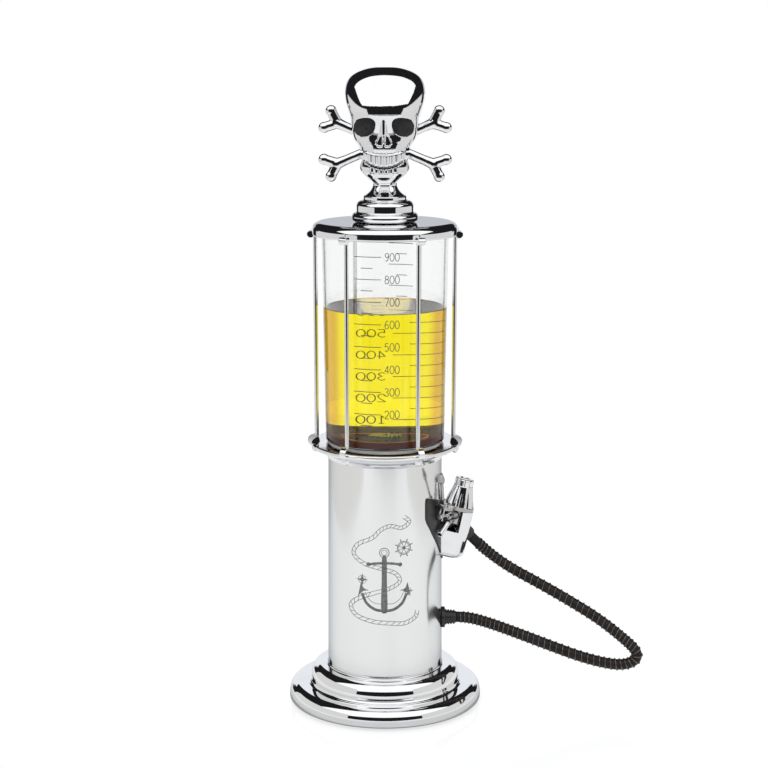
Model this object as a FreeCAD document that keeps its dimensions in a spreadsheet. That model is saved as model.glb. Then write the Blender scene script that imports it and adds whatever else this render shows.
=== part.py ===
# A shot dispenser that looks like an old filling-station pump: a chrome foot, a polished
# column, a clear graduated tank in a cage of six rods, a cap with a skull-and-crossbones
# stopper, and a lever tap on a spring-wrapped hose that hangs in a holster on the column.
#
# Frame: millimetres, +Z up, origin on the floor at the centre of the foot, -Y the front,
# +X the side that carries the holster, the tap and the hose.
import FreeCAD
import Part
import Sketcher
import math
import os

Vector = FreeCAD.Vector
Rotation = FreeCAD.Rotation
Placement = FreeCAD.Placement

UP = Vector(0, 0, 1)
ACROSS = Vector(1, 0, 0)
BACK = Vector(0, 1, 0)
FRONT = Vector(0, -1, 0)

# ---------------------------------------------------------------- driving dimensions, in mm
SIZES = {
    # clearances
    "snug_gap": 0.05,            # radial, a pin or spigot in its hole
    "free_gap": 0.3,             # between pieces that move past each other
    "rod_hole_gap": 0.1,         # radial, a cage rod in its lug
    # foot
    "foot_height": 2.0,
    "foot_radius": 7.0,
    "foot_outset": 1.4,          # foot discs beyond the upper tier
    "base_rim_width": 3.6,
    "base_rim_height": 2.4,
    "lower_tier_width": 12.0,
    "lower_tier_height": 11.0,
    "upper_tier_width": 12.6,
    "upper_tier_height": 21.0,
    "base_shell_height": 26.6,
    "base_wall": 1.7,
    "base_plate_thickness": 1.5,
    "base_screw_radius": 1.5,
    "base_screw_length": 9.0,
    "base_boss_radius": 3.8,
    "base_boss_setback": 7.6,    # screw bosses inside the upper tier
    # column
    "column_radius": 42.0,
    "column_wall": 1.5,
    "column_length": 152.0,
    "spigot_height": 8.0,
    "spigot_wall": 1.6,
    # collar under the tank
    "collar_edge_margin": 3.8,   # collar edge beyond the rods
    "collar_edge": 3.8,
    "collar_height": 11.0,
    "collar_hub_thickness": 5.0,
    "collar_lug_radius": 4.5,
    "collar_lug_lift": 0.2,
    "collar_lug_width": 5.0,
    "collar_lug_offset": 2.2,
    # tank
    "tank_foot_radius": 43.8,
    "tank_top_radius": 47.2,
    "tank_wall": 2.2,
    "tank_floor": 3.4,
    "tank_height": 155.7,
    "gasket_thickness": 1.2,
    "gasket_width": 5.0,
    # cage
    "rod_radius": 1.6,
    "rod_foot_clearance": 1.8,   # between tank and rod
    "rod_head_clearance": 3.2,
    "rod_turn": 57.6,            # degrees, the first rod about +Z from +X
    "rod_end_depth": 3.0,
    "nut_radius": 2.9,
    "nut_collar_height": 1.8,
    "nut_setback": 1.0,
    # cap
    "cap_edge_margin": 2.6,      # cap edge beyond the rods
    "cap_height": 9.8,
    "cap_wall": 3.0,
    "cap_top_thickness": 4.4,
    "cap_edge_round": 3.4,
    "cap_lug_radius": 3.3,
    "cap_lug_width": 6.0,
    "cap_lug_offset": 3.2,
    "cap_lug_lift": 0.3,         # centre of a lug above the skirt's lower edge
    "cap_guide_width": 1.8,
    "filler_radius": 18.0,
    "filler_rim": 3.0,
    # stopper pedestal
    "pedestal_radius": 25.0,
    "pedestal_foot_height": 7.0,
    "drum_radius": 21.5,
    "drum_height": 8.0,
    "step_radius": 16.2,
    "step_height": 4.4,
    "cone_height": 7.4,
    "neck_radius": 8.9,
    "neck_height": 3.2,
    "neck_pin_radius": 4.5,
    "neck_pin_height": 9.0,
    "plug_length": 13.0,
    "plug_gap": 1.0,
    "seal_radius": 1.3,
    # skull
    "skull_lift": 86.2,          # chin to crown
    "skull_width": 59.6,
    "skull_depth": 57.5,
    "stopper_turn": -2.5,        # degrees, the face to the viewer's left
    "socket_width": 16.2,
    "socket_height": 15.0,
    "socket_depth": 6.0,
    "socket_spacing": 28.4,
    "neck_sink": 2.0,            # chin below the top of the pedestal
    "socket_rise": 43.5,         # above the chin
    "inlay_thickness": 1.2,
    "nose_width": 11.4,
    "nose_height": 10.0,
    "nose_rise": 33.5,
    "tooth_width": 4.0,
    "tooth_height": 8.6,
    "tooth_depth": 4.2,
    "tooth_arc_radius": 18.4,
    "tooth_arc_setback": 4.2,    # centre of the arc, in front of the axis
    "tooth_arc_lift": 3.0,       # the outermost teeth end this much higher
    "mouth_gap": 1.7,
    "mouth_width": 33.0,
    "mouth_depth": 13.0,         # of the gap's floor, in front of the axis
    "ridge_front": 23.6,
    "tooth_rise": 13.7,
    # crossed bones
    "bone_radius": 3.6,
    "bone_half_length": 46.5,
    "bone_slope": 22.9,          # degrees below and above level
    "bone_knob_radius": 4.2,
    "bone_knob_spread": 6.8,
    "bone_fork_length": 7.0,
    "bone_flare": 1.2,           # times the shaft, at the fork
    "bone_flare_length": 8.0,
    "bone_crossing_rise": 29.6,
    "bone_setback": 2.0,
    # outlet in the tank floor, inner tube and wall fitting
    "stem_flange_radius": 9.0,
    "stem_flange_height": 2.4,
    "stem_radius": 5.5,
    "stem_length": 24.0,
    "stem_bore_radius": 1.9,
    "barb_radius": 3.2,
    "barb_length": 12.0,
    "stem_nut_height": 6.0,
    "stem_nut_across": 17.0,
    "inner_tube_radius": 4.9,
    "inner_tube_bend": 24.0,
    "clamp_width": 5.0,
    "clamp_thickness": 1.0,
    "outlet_level": 58.8,
    "outlet_barrel_radius": 4.8,
    "outlet_flange_radius": 7.4,
    "outlet_flange_thickness": 2.4,
    "outlet_nut_across": 14.0,
    "outlet_nut_height": 4.0,
    # hose
    "hose_radius": 4.2,
    "relief_length": 8.0,
    "relief_radius": 5.6,
    # holster
    "tap_tilt": 13.0,            # degrees outward from upright
    "tap_offset": 13.0,          # axis of the tap from the column's face, at the rim
    "tap_level": 142.0,
    "holster_radius": 11.6,
    "holster_wall": 1.7,
    "holster_depth": 38.0,
    "holster_round": 5.0,
    "holster_window_depth": 18.0,
    "holster_window_width": 17.2,
    "holster_hose_slot_depth": 27.0,
    "holster_hose_slot_width": 12.4,
    "holster_screw_radius": 1.4,
    "holster_screw_length": 5.2,
    "holster_screw_low": 108.0,
    "holster_screw_high": 136.0,
    # tap body
    "tap_turn": 32.0,            # degrees, the tap's front from the viewer's front, towards the column
    "barrel_radius": 6.6,
    "barrel_length": 17.0,
    "flange_radius": 11.4,
    "flange_thickness": 2.2,
    "arm_reach": 22.0,
    "arm_width": 6.4,
    "pivot_reach": 25.0,
    "pivot_lift": 1.6,
    "pivot_lug_width": 1.8,
    "pivot_lug_radius": 2.4,
    "chamber_radius": 4.5,
    "chamber_bore": 2.8,
    "chamber_drop": 6.4,
    "chamber_reach": 16.0,
    "seat_reach": 2.0,
    "seat_hole": 1.7,
    "gland_radius": 3.4,
    "gland_thickness": 2.4,
    "plunger_radius": 0.9,
    "valve_disc_radius": 2.5,
    "valve_disc_thickness": 1.4,
    "spring_wire": 0.45,
    "spring_turns": 4.5,
    "spout_radius": 2.3,
    "spout_bore": 1.5,
    "spout_length": 25.0,
    "spout_seat": 9.8,
    "spout_socket": 12.0,
    "spout_drop": 5.5,
    "spout_root_reach": 4.0,
    "spout_slope": 33.0,         # degrees below level
    "spout_turn": 7.0,           # degrees from the tap's front
    "hose_boss_drop": 12.0,
    "hose_boss_slope": 33.0,     # degrees below level
    "hose_boss_turn": 30.0,      # degrees behind the outward side
    "hose_boss_radius": 3.4,
    "hose_boss_length": 17.0,
    "ferrule_radius": 5.2,
    "ferrule_length": 5.4,
    # tap grip
    "grip_foot_radius": 10.8,
    "grip_top_radius": 7.3,
    "grip_height": 15.4,
    "grip_wall": 2.4,
    "flute_count": 12,
    "flute_radius": 1.7,
    "grip_cap_radius": 7.0,
    "grip_cap_height": 4.8,
    "notch_radius": 0.8,
    # lever
    "lever_radius": 1.3,
    "lever_lean": 30.0,          # degrees forward of the tap's axis
    "lever_length": 22.0,
    "lever_boss_radius": 2.4,
    "lever_cheek": 0.8,
    "lever_side_gap": 0.15,
    "lever_arm_depth": 2.0,
    "lever_arm_drop": 11.0,
    "lever_bridge_lift": 3.6,
    "lever_bridge_height": 2.4,
    "lever_pin_radius": 0.9,
    "lever_pin_head": 0.4,
    "lever_squeeze": 16.0,       # degrees of travel
    "knob_radius": 2.4,
    "knob_length": 10.5,
}

DEGREE = math.pi / 180.0


class Size:
    """A length, count or angle that knows its number and the spreadsheet formula for it."""

    def __init__(self, number, formula):
        self.number = float(number)
        self.formula = formula

    def __float__(self):
        return self.number

    def __neg__(self):
        return Size(-self.number, f"(0 - {self.formula})")

    def __add__(self, other):
        other = as_size(other)
        return Size(self.number + other.number, f"({self.formula} + {other.formula})")

    def __sub__(self, other):
        other = as_size(other)
        return Size(self.number - other.number, f"({self.formula} - {other.formula})")

    def __mul__(self, other):
        other = as_size(other)
        return Size(self.number * other.number, f"({self.formula} * {other.formula})")

    def __truediv__(self, other):
        other = as_size(other)
        return Size(self.number / other.number, f"({self.formula} / {other.formula})")

    def __radd__(self, other):
        return as_size(other) + self

    def __rsub__(self, other):
        return as_size(other) - self

    def __rmul__(self, other):
        return as_size(other) * self


def as_size(value):
    """A plain number as a Size, and a Size as it is."""
    if isinstance(value, Size):
        return value
    return Size(value, f"{float(value):.6f}")


def root(size):
    """The square root of a Size."""
    return Size(math.sqrt(size.number), f"sqrt({size.formula})")


class Sheet:
    """The spreadsheet of driving dimensions; each one is an attribute that gives a Size."""

    def __init__(self, document, sizes):
        self.cells = document.addObject("Spreadsheet::Sheet", "Sizes")
        self.values = sizes
        for row, (name, number) in enumerate(sizes.items(), start=1):
            self.cells.set(f"A{row}", name)
            self.cells.set(f"B{row}", str(number))
            self.cells.setAlias(f"B{row}", name)
        document.recompute()

    def __getattr__(self, name):
        return Size(self.values[name], f"Sizes.{name}")


doc = FreeCAD.newDocument("ShotDispenser")
size = Sheet(doc, SIZES)
sub_parts = []


# ---------------------------------------------------------------- sketches and features
def keep(item, label):
    """Names an object as one of the pieces that are written out."""
    item.Label = label
    sub_parts.append(item)
    return item


def origin_plane(body, role):
    """One of a body's own origin planes or axes, by its role."""
    return next(item for item in body.Origin.OriginFeatures if item.Role == role)


def new_sketch(body, name, role="XY_Plane", height=None):
    """A sketch on one of the body's origin planes, raised by a Size along the plane's normal."""
    sketch = body.newObject("Sketcher::SketchObject", name)
    sketch.AttachmentSupport = [(origin_plane(body, role), "")]
    sketch.MapMode = "FlatFace"
    if height is not None:
        sketch.AttachmentOffset = Placement(Vector(0, 0, float(height)), Rotation())
        sketch.setExpression("AttachmentOffset.Base.z", height.formula)
    return sketch


def hold_point(sketch, edge, end, x, y):
    """Holds one end of an edge at X and Y from the sketch's origin."""
    for kind, coordinate, axis in (("DistanceX", x, -2), ("DistanceY", y, -1)):
        coordinate = as_size(coordinate)
        if coordinate.number == 0.0:
            sketch.addConstraint(Sketcher.Constraint("PointOnObject", edge, end, axis))
            continue
        index = sketch.addConstraint(Sketcher.Constraint(kind, -1, 1, edge, end, coordinate.number))
        sketch.setExpression(f"Constraints[{index}]", coordinate.formula)


def arc_between(start, finish, bow):
    """The circular arc from start to finish whose height is bow times its chord, bulging right."""
    chord = finish - start
    middle = (start + finish) * 0.5
    side = Vector(chord.y, -chord.x, 0)
    crest = middle + side * bow
    return Part.Arc(start, crest, finish).toShape().Curve, crest


def draw_outline(sketch, corners):
    """Draws one closed outline and holds it with formulas.

    Each corner is (x, y) or (x, y, bow). bow belongs to the edge that leaves the corner: the
    height of an arc over its chord, positive where it bulges to the right of travel.
    """
    first = sketch.GeometryCount
    count = len(corners)
    joints = []
    for place, corner in enumerate(corners):
        after = corners[(place + 1) % count]
        start = Vector(float(corner[0]), float(corner[1]), 0)
        finish = Vector(float(after[0]), float(after[1]), 0)
        bow = corner[2] if len(corner) > 2 else 0.0
        if bow == 0.0:
            edge = sketch.addGeometry(Part.LineSegment(start, finish))
            joints.append((edge, 1, 2))
            continue
        circle, crest = arc_between(start, finish, bow)
        centre, radius = circle.Center, circle.Radius
        tail, head = (start, finish) if bow > 0 else (finish, start)
        begin = math.atan2(tail.y - centre.y, tail.x - centre.x)
        end = math.atan2(head.y - centre.y, head.x - centre.x)
        if end <= begin:
            end += 2 * math.pi
        edge = sketch.addGeometry(Part.ArcOfCircle(Part.Circle(centre, UP, radius), begin, end))
        joints.append((edge, 1, 2) if bow > 0 else (edge, 2, 1))
    for place, (edge, start_end, finish_end) in enumerate(joints):
        next_edge, next_start, _ = joints[(place + 1) % count]
        sketch.addConstraint(Sketcher.Constraint("Coincident", edge, finish_end, next_edge, next_start))
    for place, corner in enumerate(corners):
        edge, start_end, _ = joints[place]
        hold_point(sketch, edge, start_end, corner[0], corner[1])
        bow = corner[2] if len(corner) > 2 else 0.0
        if bow != 0.0:
            after = corners[(place + 1) % count]
            run = as_size(after[0]) - as_size(corner[0])
            rise = as_size(after[1]) - as_size(corner[1])
            flatness = 1.0 / (8.0 * abs(bow)) + abs(bow) / 2.0
            radius = root(run * run + rise * rise) * flatness
            index = sketch.addConstraint(Sketcher.Constraint("Radius", edge, radius.number))
            sketch.setExpression(f"Constraints[{index}]", radius.formula)
    return first


def draw_circle(sketch, x, y, radius):
    """Draws a circle held by its centre and radius."""
    centre = Vector(float(x), float(y), 0)
    edge = sketch.addGeometry(Part.Circle(centre, UP, float(radius)))
    hold_point(sketch, edge, 3, x, y)
    radius = as_size(radius)
    index = sketch.addConstraint(Sketcher.Constraint("Radius", edge, radius.number))
    sketch.setExpression(f"Constraints[{index}]", radius.formula)


QUARTER = 0.2071     # bow of a quarter circle
SOFT = 0.12          # bow of a shallow crown


def new_body(label):
    """A PartDesign body with its own label."""
    return keep(doc.addObject("PartDesign::Body", label), label)


def turn_profile(body, name, corners):
    """Adds a full turn of an outline about the body's Z axis; x is radius and y is height."""
    sketch = new_sketch(body, name + "_profile", "XZ_Plane")
    draw_outline(sketch, corners)
    turn = body.newObject("PartDesign::Revolution", name)
    turn.Profile = sketch
    turn.ReferenceAxis = (sketch, ["V_Axis"])
    turn.Angle = 360
    body.Tip = turn
    return turn


def turned(label, corners):
    """A body turned from one outline."""
    body = new_body(label)
    turn_profile(body, label + "_turn", corners)
    return body


def pad(body, name, draw, start, length, role="XY_Plane", symmetric=False):
    """Adds material along a plane's normal from a sketch that draw() fills in."""
    sketch = new_sketch(body, name + "_sketch", role, start)
    draw(sketch)
    feature = body.newObject("PartDesign::Pad", name)
    feature.Profile = sketch
    length = as_size(length)
    feature.Length = length.number
    feature.setExpression("Length", length.formula)
    feature.SideType = "Symmetric" if symmetric else "One side"
    body.Tip = feature
    return feature


def pocket(body, name, draw, start, length, role="XY_Plane", symmetric=False, along=True):
    """Cuts along a plane's normal (or against it) and makes sure that material went."""
    doc.recompute()
    before = body.Shape.Volume
    sketch = new_sketch(body, name + "_sketch", role, start)
    draw(sketch)
    feature = body.newObject("PartDesign::Pocket", name)
    feature.Profile = sketch
    length = as_size(length)
    feature.Length = length.number
    feature.setExpression("Length", length.formula)
    feature.SideType = "Symmetric" if symmetric else "One side"
    feature.Reversed = along
    body.Tip = feature
    doc.recompute()
    if body.Shape.Volume >= before - 1e-6:
        raise RuntimeError(f"{name} in {body.Label} cuts nothing")
    return feature


def around(body, name, features, count):
    """Repeats features evenly about the body's Z axis."""
    pattern = body.newObject("PartDesign::PolarPattern", name)
    pattern.Originals = features
    pattern.Axis = (origin_plane(body, "Z_Axis"), [""])
    pattern.Angle = 360
    pattern.Occurrences = count
    body.Tip = pattern
    doc.recompute()
    return pattern


def spun(x, y, degrees):
    """A point turned about the origin."""
    angle = degrees * DEGREE
    x, y = float(x), float(y)
    return Vector(x * math.cos(angle) - y * math.sin(angle), x * math.sin(angle) + y * math.cos(angle), 0)


def cylinder(name, radius, height, place=None):
    """A Part cylinder whose sizes follow the sheet."""
    item = doc.addObject("Part::Cylinder", name)
    for field, value in (("Radius", radius), ("Height", height)):
        value = as_size(value)
        setattr(item, field, value.number)
        item.setExpression(field, value.formula)
    if place is not None:
        item.Placement = place
    return item


def cone(name, foot, head, height, place=None):
    """A Part cone whose sizes follow the sheet."""
    item = doc.addObject("Part::Cone", name)
    for field, value in (("Radius1", foot), ("Radius2", head), ("Height", height)):
        value = as_size(value)
        setattr(item, field, value.number)
        item.setExpression(field, value.formula)
    if place is not None:
        item.Placement = place
    return item


def sphere(name, radius, place=None):
    """A Part sphere whose radius follows the sheet."""
    item = doc.addObject("Part::Sphere", name)
    radius = as_size(radius)
    item.Radius = radius.number
    item.setExpression("Radius", radius.formula)
    if place is not None:
        item.Placement = place
    return item


def block(name, length, width, height, corner, place=None):
    """A Part box with its low corner at three sizes of its own frame, moved by a placement."""
    item = doc.addObject("Part::Box", name)
    for field, value in (("Length", length), ("Width", width), ("Height", height)):
        value = as_size(value)
        setattr(item, field, value.number)
        item.setExpression(field, value.formula)
    low = Vector(*[float(value) for value in corner])
    item.Placement = (place or Placement()).multiply(Placement(low, Rotation()))
    return item


def fused(name, items):
    """The union of several objects, with the seams taken out."""
    item = doc.addObject("Part::MultiFuse", name)
    item.Shapes = items
    item.Refine = True
    return item


def cut(name, base, tool):
    """One object less another, and makes sure that material went."""
    item = doc.addObject("Part::Cut", name)
    item.Base = base
    item.Tool = tool
    item.Refine = True
    doc.recompute()
    if item.Shape.Volume >= base.Shape.Volume - 1e-6:
        raise RuntimeError(f"{name} cuts nothing")
    return item


def shaped(label, shape, place=None):
    """A piece whose shape is worked out here with Part's own functions."""
    item = doc.addObject("Part::Feature", label)
    item.Shape = shape
    if place is not None:
        item.Placement = place
    return keep(item, label)


def along(direction, base=Vector()):
    """A placement that stands the local Z axis along a direction."""
    return Placement(base, Rotation(UP, direction))


# ---------------------------------------------------------------- levels that pieces share
base_top = size.base_shell_height
column_top = base_top + size.column_length
collar_floor = column_top + size.collar_height
tank_bottom = collar_floor + size.gasket_thickness
tank_top = tank_bottom + size.tank_height
cap_ceiling = tank_top + size.gasket_thickness
cap_top = cap_ceiling + size.cap_top_thickness
cap_bottom = cap_top - size.cap_height
flare_top = cap_top + size.pedestal_foot_height + size.drum_height + size.step_height + size.cone_height
pedestal_top = flare_top + size.neck_height
column_inside = size.column_radius - size.column_wall
upper_tier_radius = size.column_radius + size.upper_tier_width
lower_tier_radius = upper_tier_radius + size.lower_tier_width
base_radius = lower_tier_radius + size.base_rim_width
base_boss_ring_radius = upper_tier_radius - size.base_boss_setback
foot_ring_radius = upper_tier_radius + size.foot_outset
rod_foot_ring = size.tank_top_radius + size.rod_radius + size.rod_foot_clearance
rod_head_ring = size.tank_top_radius + size.rod_radius + size.rod_head_clearance
collar_radius = rod_foot_ring + size.collar_edge_margin
collar_lug_reach = rod_foot_ring + size.collar_lug_offset
cap_radius = rod_head_ring + size.cap_edge_margin
cap_lug_reach = rod_head_ring + size.cap_lug_offset
skull_chin = pedestal_top - size.neck_sink
socket_level = skull_chin + size.socket_rise
nose_level = skull_chin + size.nose_rise
tooth_level = skull_chin + size.tooth_rise
bone_crossing_level = skull_chin + size.bone_crossing_rise
tap_reach = size.column_radius + size.tap_offset

ROD_COUNT = 6
rod_turns = [float(size.rod_turn) + 360.0 / ROD_COUNT * number for number in range(ROD_COUNT)]
lug_level = collar_floor + size.collar_lug_lift
rod_foot = collar_floor - size.rod_end_depth
nut_top = rod_foot - 1.0
cap_lug_level = cap_bottom + size.cap_lug_lift
rod_head = cap_lug_level + size.cap_lug_radius


# ---------------------------------------------------------------- foot
def make_base():
    """Two-tier shell, its bottom plate, four rubber feet and four screws."""
    spigot_out = column_inside - size.snug_gap
    spigot_in = spigot_out - size.spigot_wall
    seat = size.column_radius + 1.4
    wall = size.base_wall
    floor = size.foot_height
    rim_top = floor + size.base_rim_height
    shell = new_body("base_shell")
    turn_profile(shell, "base_turn", [
        (spigot_in, base_top + size.spigot_height),
        (spigot_in, base_top - wall),
        (seat, base_top - wall, -SOFT),
        (upper_tier_radius - wall, size.upper_tier_height - wall),
        (upper_tier_radius - wall, size.lower_tier_height + wall),
        (upper_tier_radius + wall, size.lower_tier_height + wall * 0.4, -SOFT),
        (lower_tier_radius - wall, rim_top + wall * 0.8),
        (lower_tier_radius - wall, floor),
        (base_radius, floor),
        (base_radius, rim_top - 0.8, QUARTER),
        (base_radius - 0.8, rim_top),
        (lower_tier_radius + 1.2, rim_top, -QUARTER),
        (lower_tier_radius, rim_top + 1.2),
        (lower_tier_radius, rim_top + 1.4, 0.14),
        (upper_tier_radius + 4.0, size.lower_tier_height + 1.6),
        (upper_tier_radius + 2.4, size.lower_tier_height + 1.8, -QUARTER),
        (upper_tier_radius, size.lower_tier_height + 4.2),
        (upper_tier_radius, size.upper_tier_height, 0.15),
        (seat, base_top),
        (spigot_out, base_top),
        (spigot_out, base_top + size.spigot_height),
    ])
    boss_foot = floor + size.base_plate_thickness
    boss = pad(shell, "screw_boss", lambda s: draw_circle(s, base_boss_ring_radius, 0, size.base_boss_radius),
               boss_foot, base_top - 2.6 - boss_foot)
    around(shell, "screw_bosses", [boss], 4)
    hole = pocket(shell, "boss_hole",
                  lambda s: draw_circle(s, base_boss_ring_radius, 0, size.base_screw_radius + size.snug_gap),
                  boss_foot, size.base_screw_length)
    around(shell, "boss_holes", [hole], 4)

    plate_radius = lower_tier_radius - wall - size.snug_gap
    plate = turned("base_plate", [
        (0, floor), (plate_radius, floor), (plate_radius, boss_foot), (0, boss_foot)])
    hole = pocket(plate, "plate_hole",
                  lambda s: draw_circle(s, base_boss_ring_radius, 0, size.base_screw_radius + size.snug_gap),
                  floor, size.base_plate_thickness)
    around(plate, "plate_holes", [hole], 4)

    rubber = new_body("base_feet")
    reach = foot_ring_radius * (1 / math.sqrt(2))
    foot = pad(rubber, "foot", lambda s: draw_circle(s, reach, reach, size.foot_radius), as_size(0.0),
               size.foot_height)
    around(rubber, "feet", [foot], 4)

    screws = new_body("base_screws")
    shank = pad(screws, "shank", lambda s: draw_circle(s, base_boss_ring_radius, 0, size.base_screw_radius),
                floor, size.base_plate_thickness + size.base_screw_length - 1.0)
    head = pad(screws, "head", lambda s: draw_circle(s, base_boss_ring_radius, 0, size.base_screw_radius * 1.9),
               floor - 1.2, 1.2)
    around(screws, "screws", [shank, head], 4)


# ---------------------------------------------------------------- column and collar
outlet_way = Placement(Vector(0, 0, float(size.outlet_level)), Rotation(UP, ACROSS))


def make_column():
    """The polished tube, with the hole for the hose fitting and two for the holster."""
    tube = new_body("column_tube")
    turn_profile(tube, "tube_turn", [
        (column_inside, base_top), (size.column_radius, base_top),
        (size.column_radius, column_top), (column_inside, column_top)])
    pocket(tube, "outlet_hole",
           lambda s: draw_circle(s, 0, size.outlet_level, size.outlet_barrel_radius + size.snug_gap),
           column_inside - 6.0, 12.0, role="YZ_Plane")
    for name, level in (("low", size.holster_screw_low), ("high", size.holster_screw_high)):
        pocket(tube, f"holster_hole_{name}",
               lambda s: draw_circle(s, 0, level, size.holster_screw_radius + size.snug_gap),
               column_inside - 6.0, 12.0, role="YZ_Plane")


def make_collar():
    """The dish that stands on the column, carries the tank and holds the rods' lower ends."""
    spigot_out = column_inside - size.snug_gap
    spigot_in = spigot_out - size.spigot_wall
    hub = collar_floor - size.collar_hub_thickness
    edge_low = collar_floor - size.collar_edge
    collar = new_body("tank_collar")
    turn_profile(collar, "collar_turn", [
        (size.stem_radius + size.snug_gap, hub),
        (spigot_in, hub),
        (spigot_in, column_top - size.spigot_height),
        (spigot_out, column_top - size.spigot_height),
        (spigot_out, column_top),
        (size.column_radius + 0.6, column_top, -SOFT),
        (collar_radius - 1.6, edge_low, QUARTER),
        (collar_radius, edge_low + 1.6),
        (collar_radius, collar_floor - 1.2, QUARTER),
        (collar_radius - 1.2, collar_floor),
        (size.stem_radius + size.snug_gap, collar_floor),
    ])
    doc.recompute()
    lugs = []
    for number, turn in enumerate(rod_turns):
        centre = spun(collar_lug_reach, 0, turn)
        sideways = spun(0, 1, turn)
        start = centre + Vector(0, 0, float(lug_level)) - sideways * (float(size.collar_lug_width) / 2)
        lugs.append(cylinder(f"collar_lug_{number}", size.collar_lug_radius, size.collar_lug_width,
                             along(sideways, start)))
    dished = fused("collar_with_lugs", [collar] + lugs)
    # the lugs stop short of the tank
    keep_out = cylinder("tank_room", size.tank_top_radius + 0.6, 20.0,
                        Placement(Vector(0, 0, float(collar_floor)), Rotation()))
    holes = [keep_out]
    for number, turn in enumerate(rod_turns):
        place = spun(rod_foot_ring, 0, turn) + Vector(0, 0, float(rod_foot) - 0.05)
        holes.append(cylinder(f"collar_rod_hole_{number}", size.rod_radius + size.rod_hole_gap, 20.0,
                              Placement(place, Rotation())))
        seat = spun(rod_foot_ring + size.nut_setback, 0, turn) + Vector(0, 0, float(nut_top) - 20.0)
        holes.append(cylinder(f"collar_nut_seat_{number}", size.nut_radius + size.free_gap, 20.0,
                              Placement(seat, Rotation())))
    sub_parts.remove(collar)
    collar.Label = "collar_body"
    keep(cut("tank_collar_cut", dished, fused("collar_holes", holes)), "tank_collar")


# ---------------------------------------------------------------- tank
def make_tank():
    """The clear graduated cup, the ring it stands on and the ring above it."""
    hole = size.stem_radius + size.snug_gap
    wall = size.tank_wall
    turned("tank", [
        (hole, tank_bottom),
        (size.tank_foot_radius - 2.0, tank_bottom, QUARTER),
        (size.tank_foot_radius, tank_bottom + 2.0),
        (size.tank_top_radius, tank_top),
        (size.tank_top_radius - wall, tank_top),
        (size.tank_foot_radius - wall, tank_bottom + size.tank_floor + 2.5, -QUARTER),
        (size.tank_foot_radius - wall - 2.5, tank_bottom + size.tank_floor),
        (hole, tank_bottom + size.tank_floor),
    ])
    for label, low, outer in (("tank_gasket", collar_floor, size.tank_foot_radius - 2.4),
                              ("cap_gasket", tank_top, size.tank_top_radius + 0.2)):
        turned(label, [
            (outer - size.gasket_width, low), (outer, low),
            (outer, low + size.gasket_thickness), (outer - size.gasket_width, low + size.gasket_thickness)])


def make_cage():
    """Six thin rods between collar and cap, and the domed nuts under the collar."""
    length = float(rod_head) - float(rod_foot)
    lean = math.atan2(float(rod_head_ring) - float(rod_foot_ring), length) / DEGREE
    for number, turn in enumerate(rod_turns, start=1):
        foot = spun(rod_foot_ring, 0, turn) + Vector(0, 0, float(rod_foot))
        place = Placement(foot, Rotation(UP, turn) * Rotation(BACK, lean))
        keep(cylinder(f"rod_{number}", size.rod_radius, rod_head - rod_foot, place), f"cage_rod_{number}")
    nuts = []
    for number, turn in enumerate(rod_turns):
        place = spun(rod_foot_ring + size.nut_setback, 0, turn)
        place.z = float(nut_top - size.nut_collar_height)
        dome = sphere(f"nut_dome_{number}", size.nut_radius, Placement(place, Rotation()))
        dome.Angle2 = 0
        nuts.append(dome)
        nuts.append(cylinder(f"nut_collar_{number}", size.nut_radius, size.nut_collar_height,
                             Placement(place, Rotation())))
    domes = fused("nut_domes", nuts)
    keep(domes, "collar_nuts")


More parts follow.
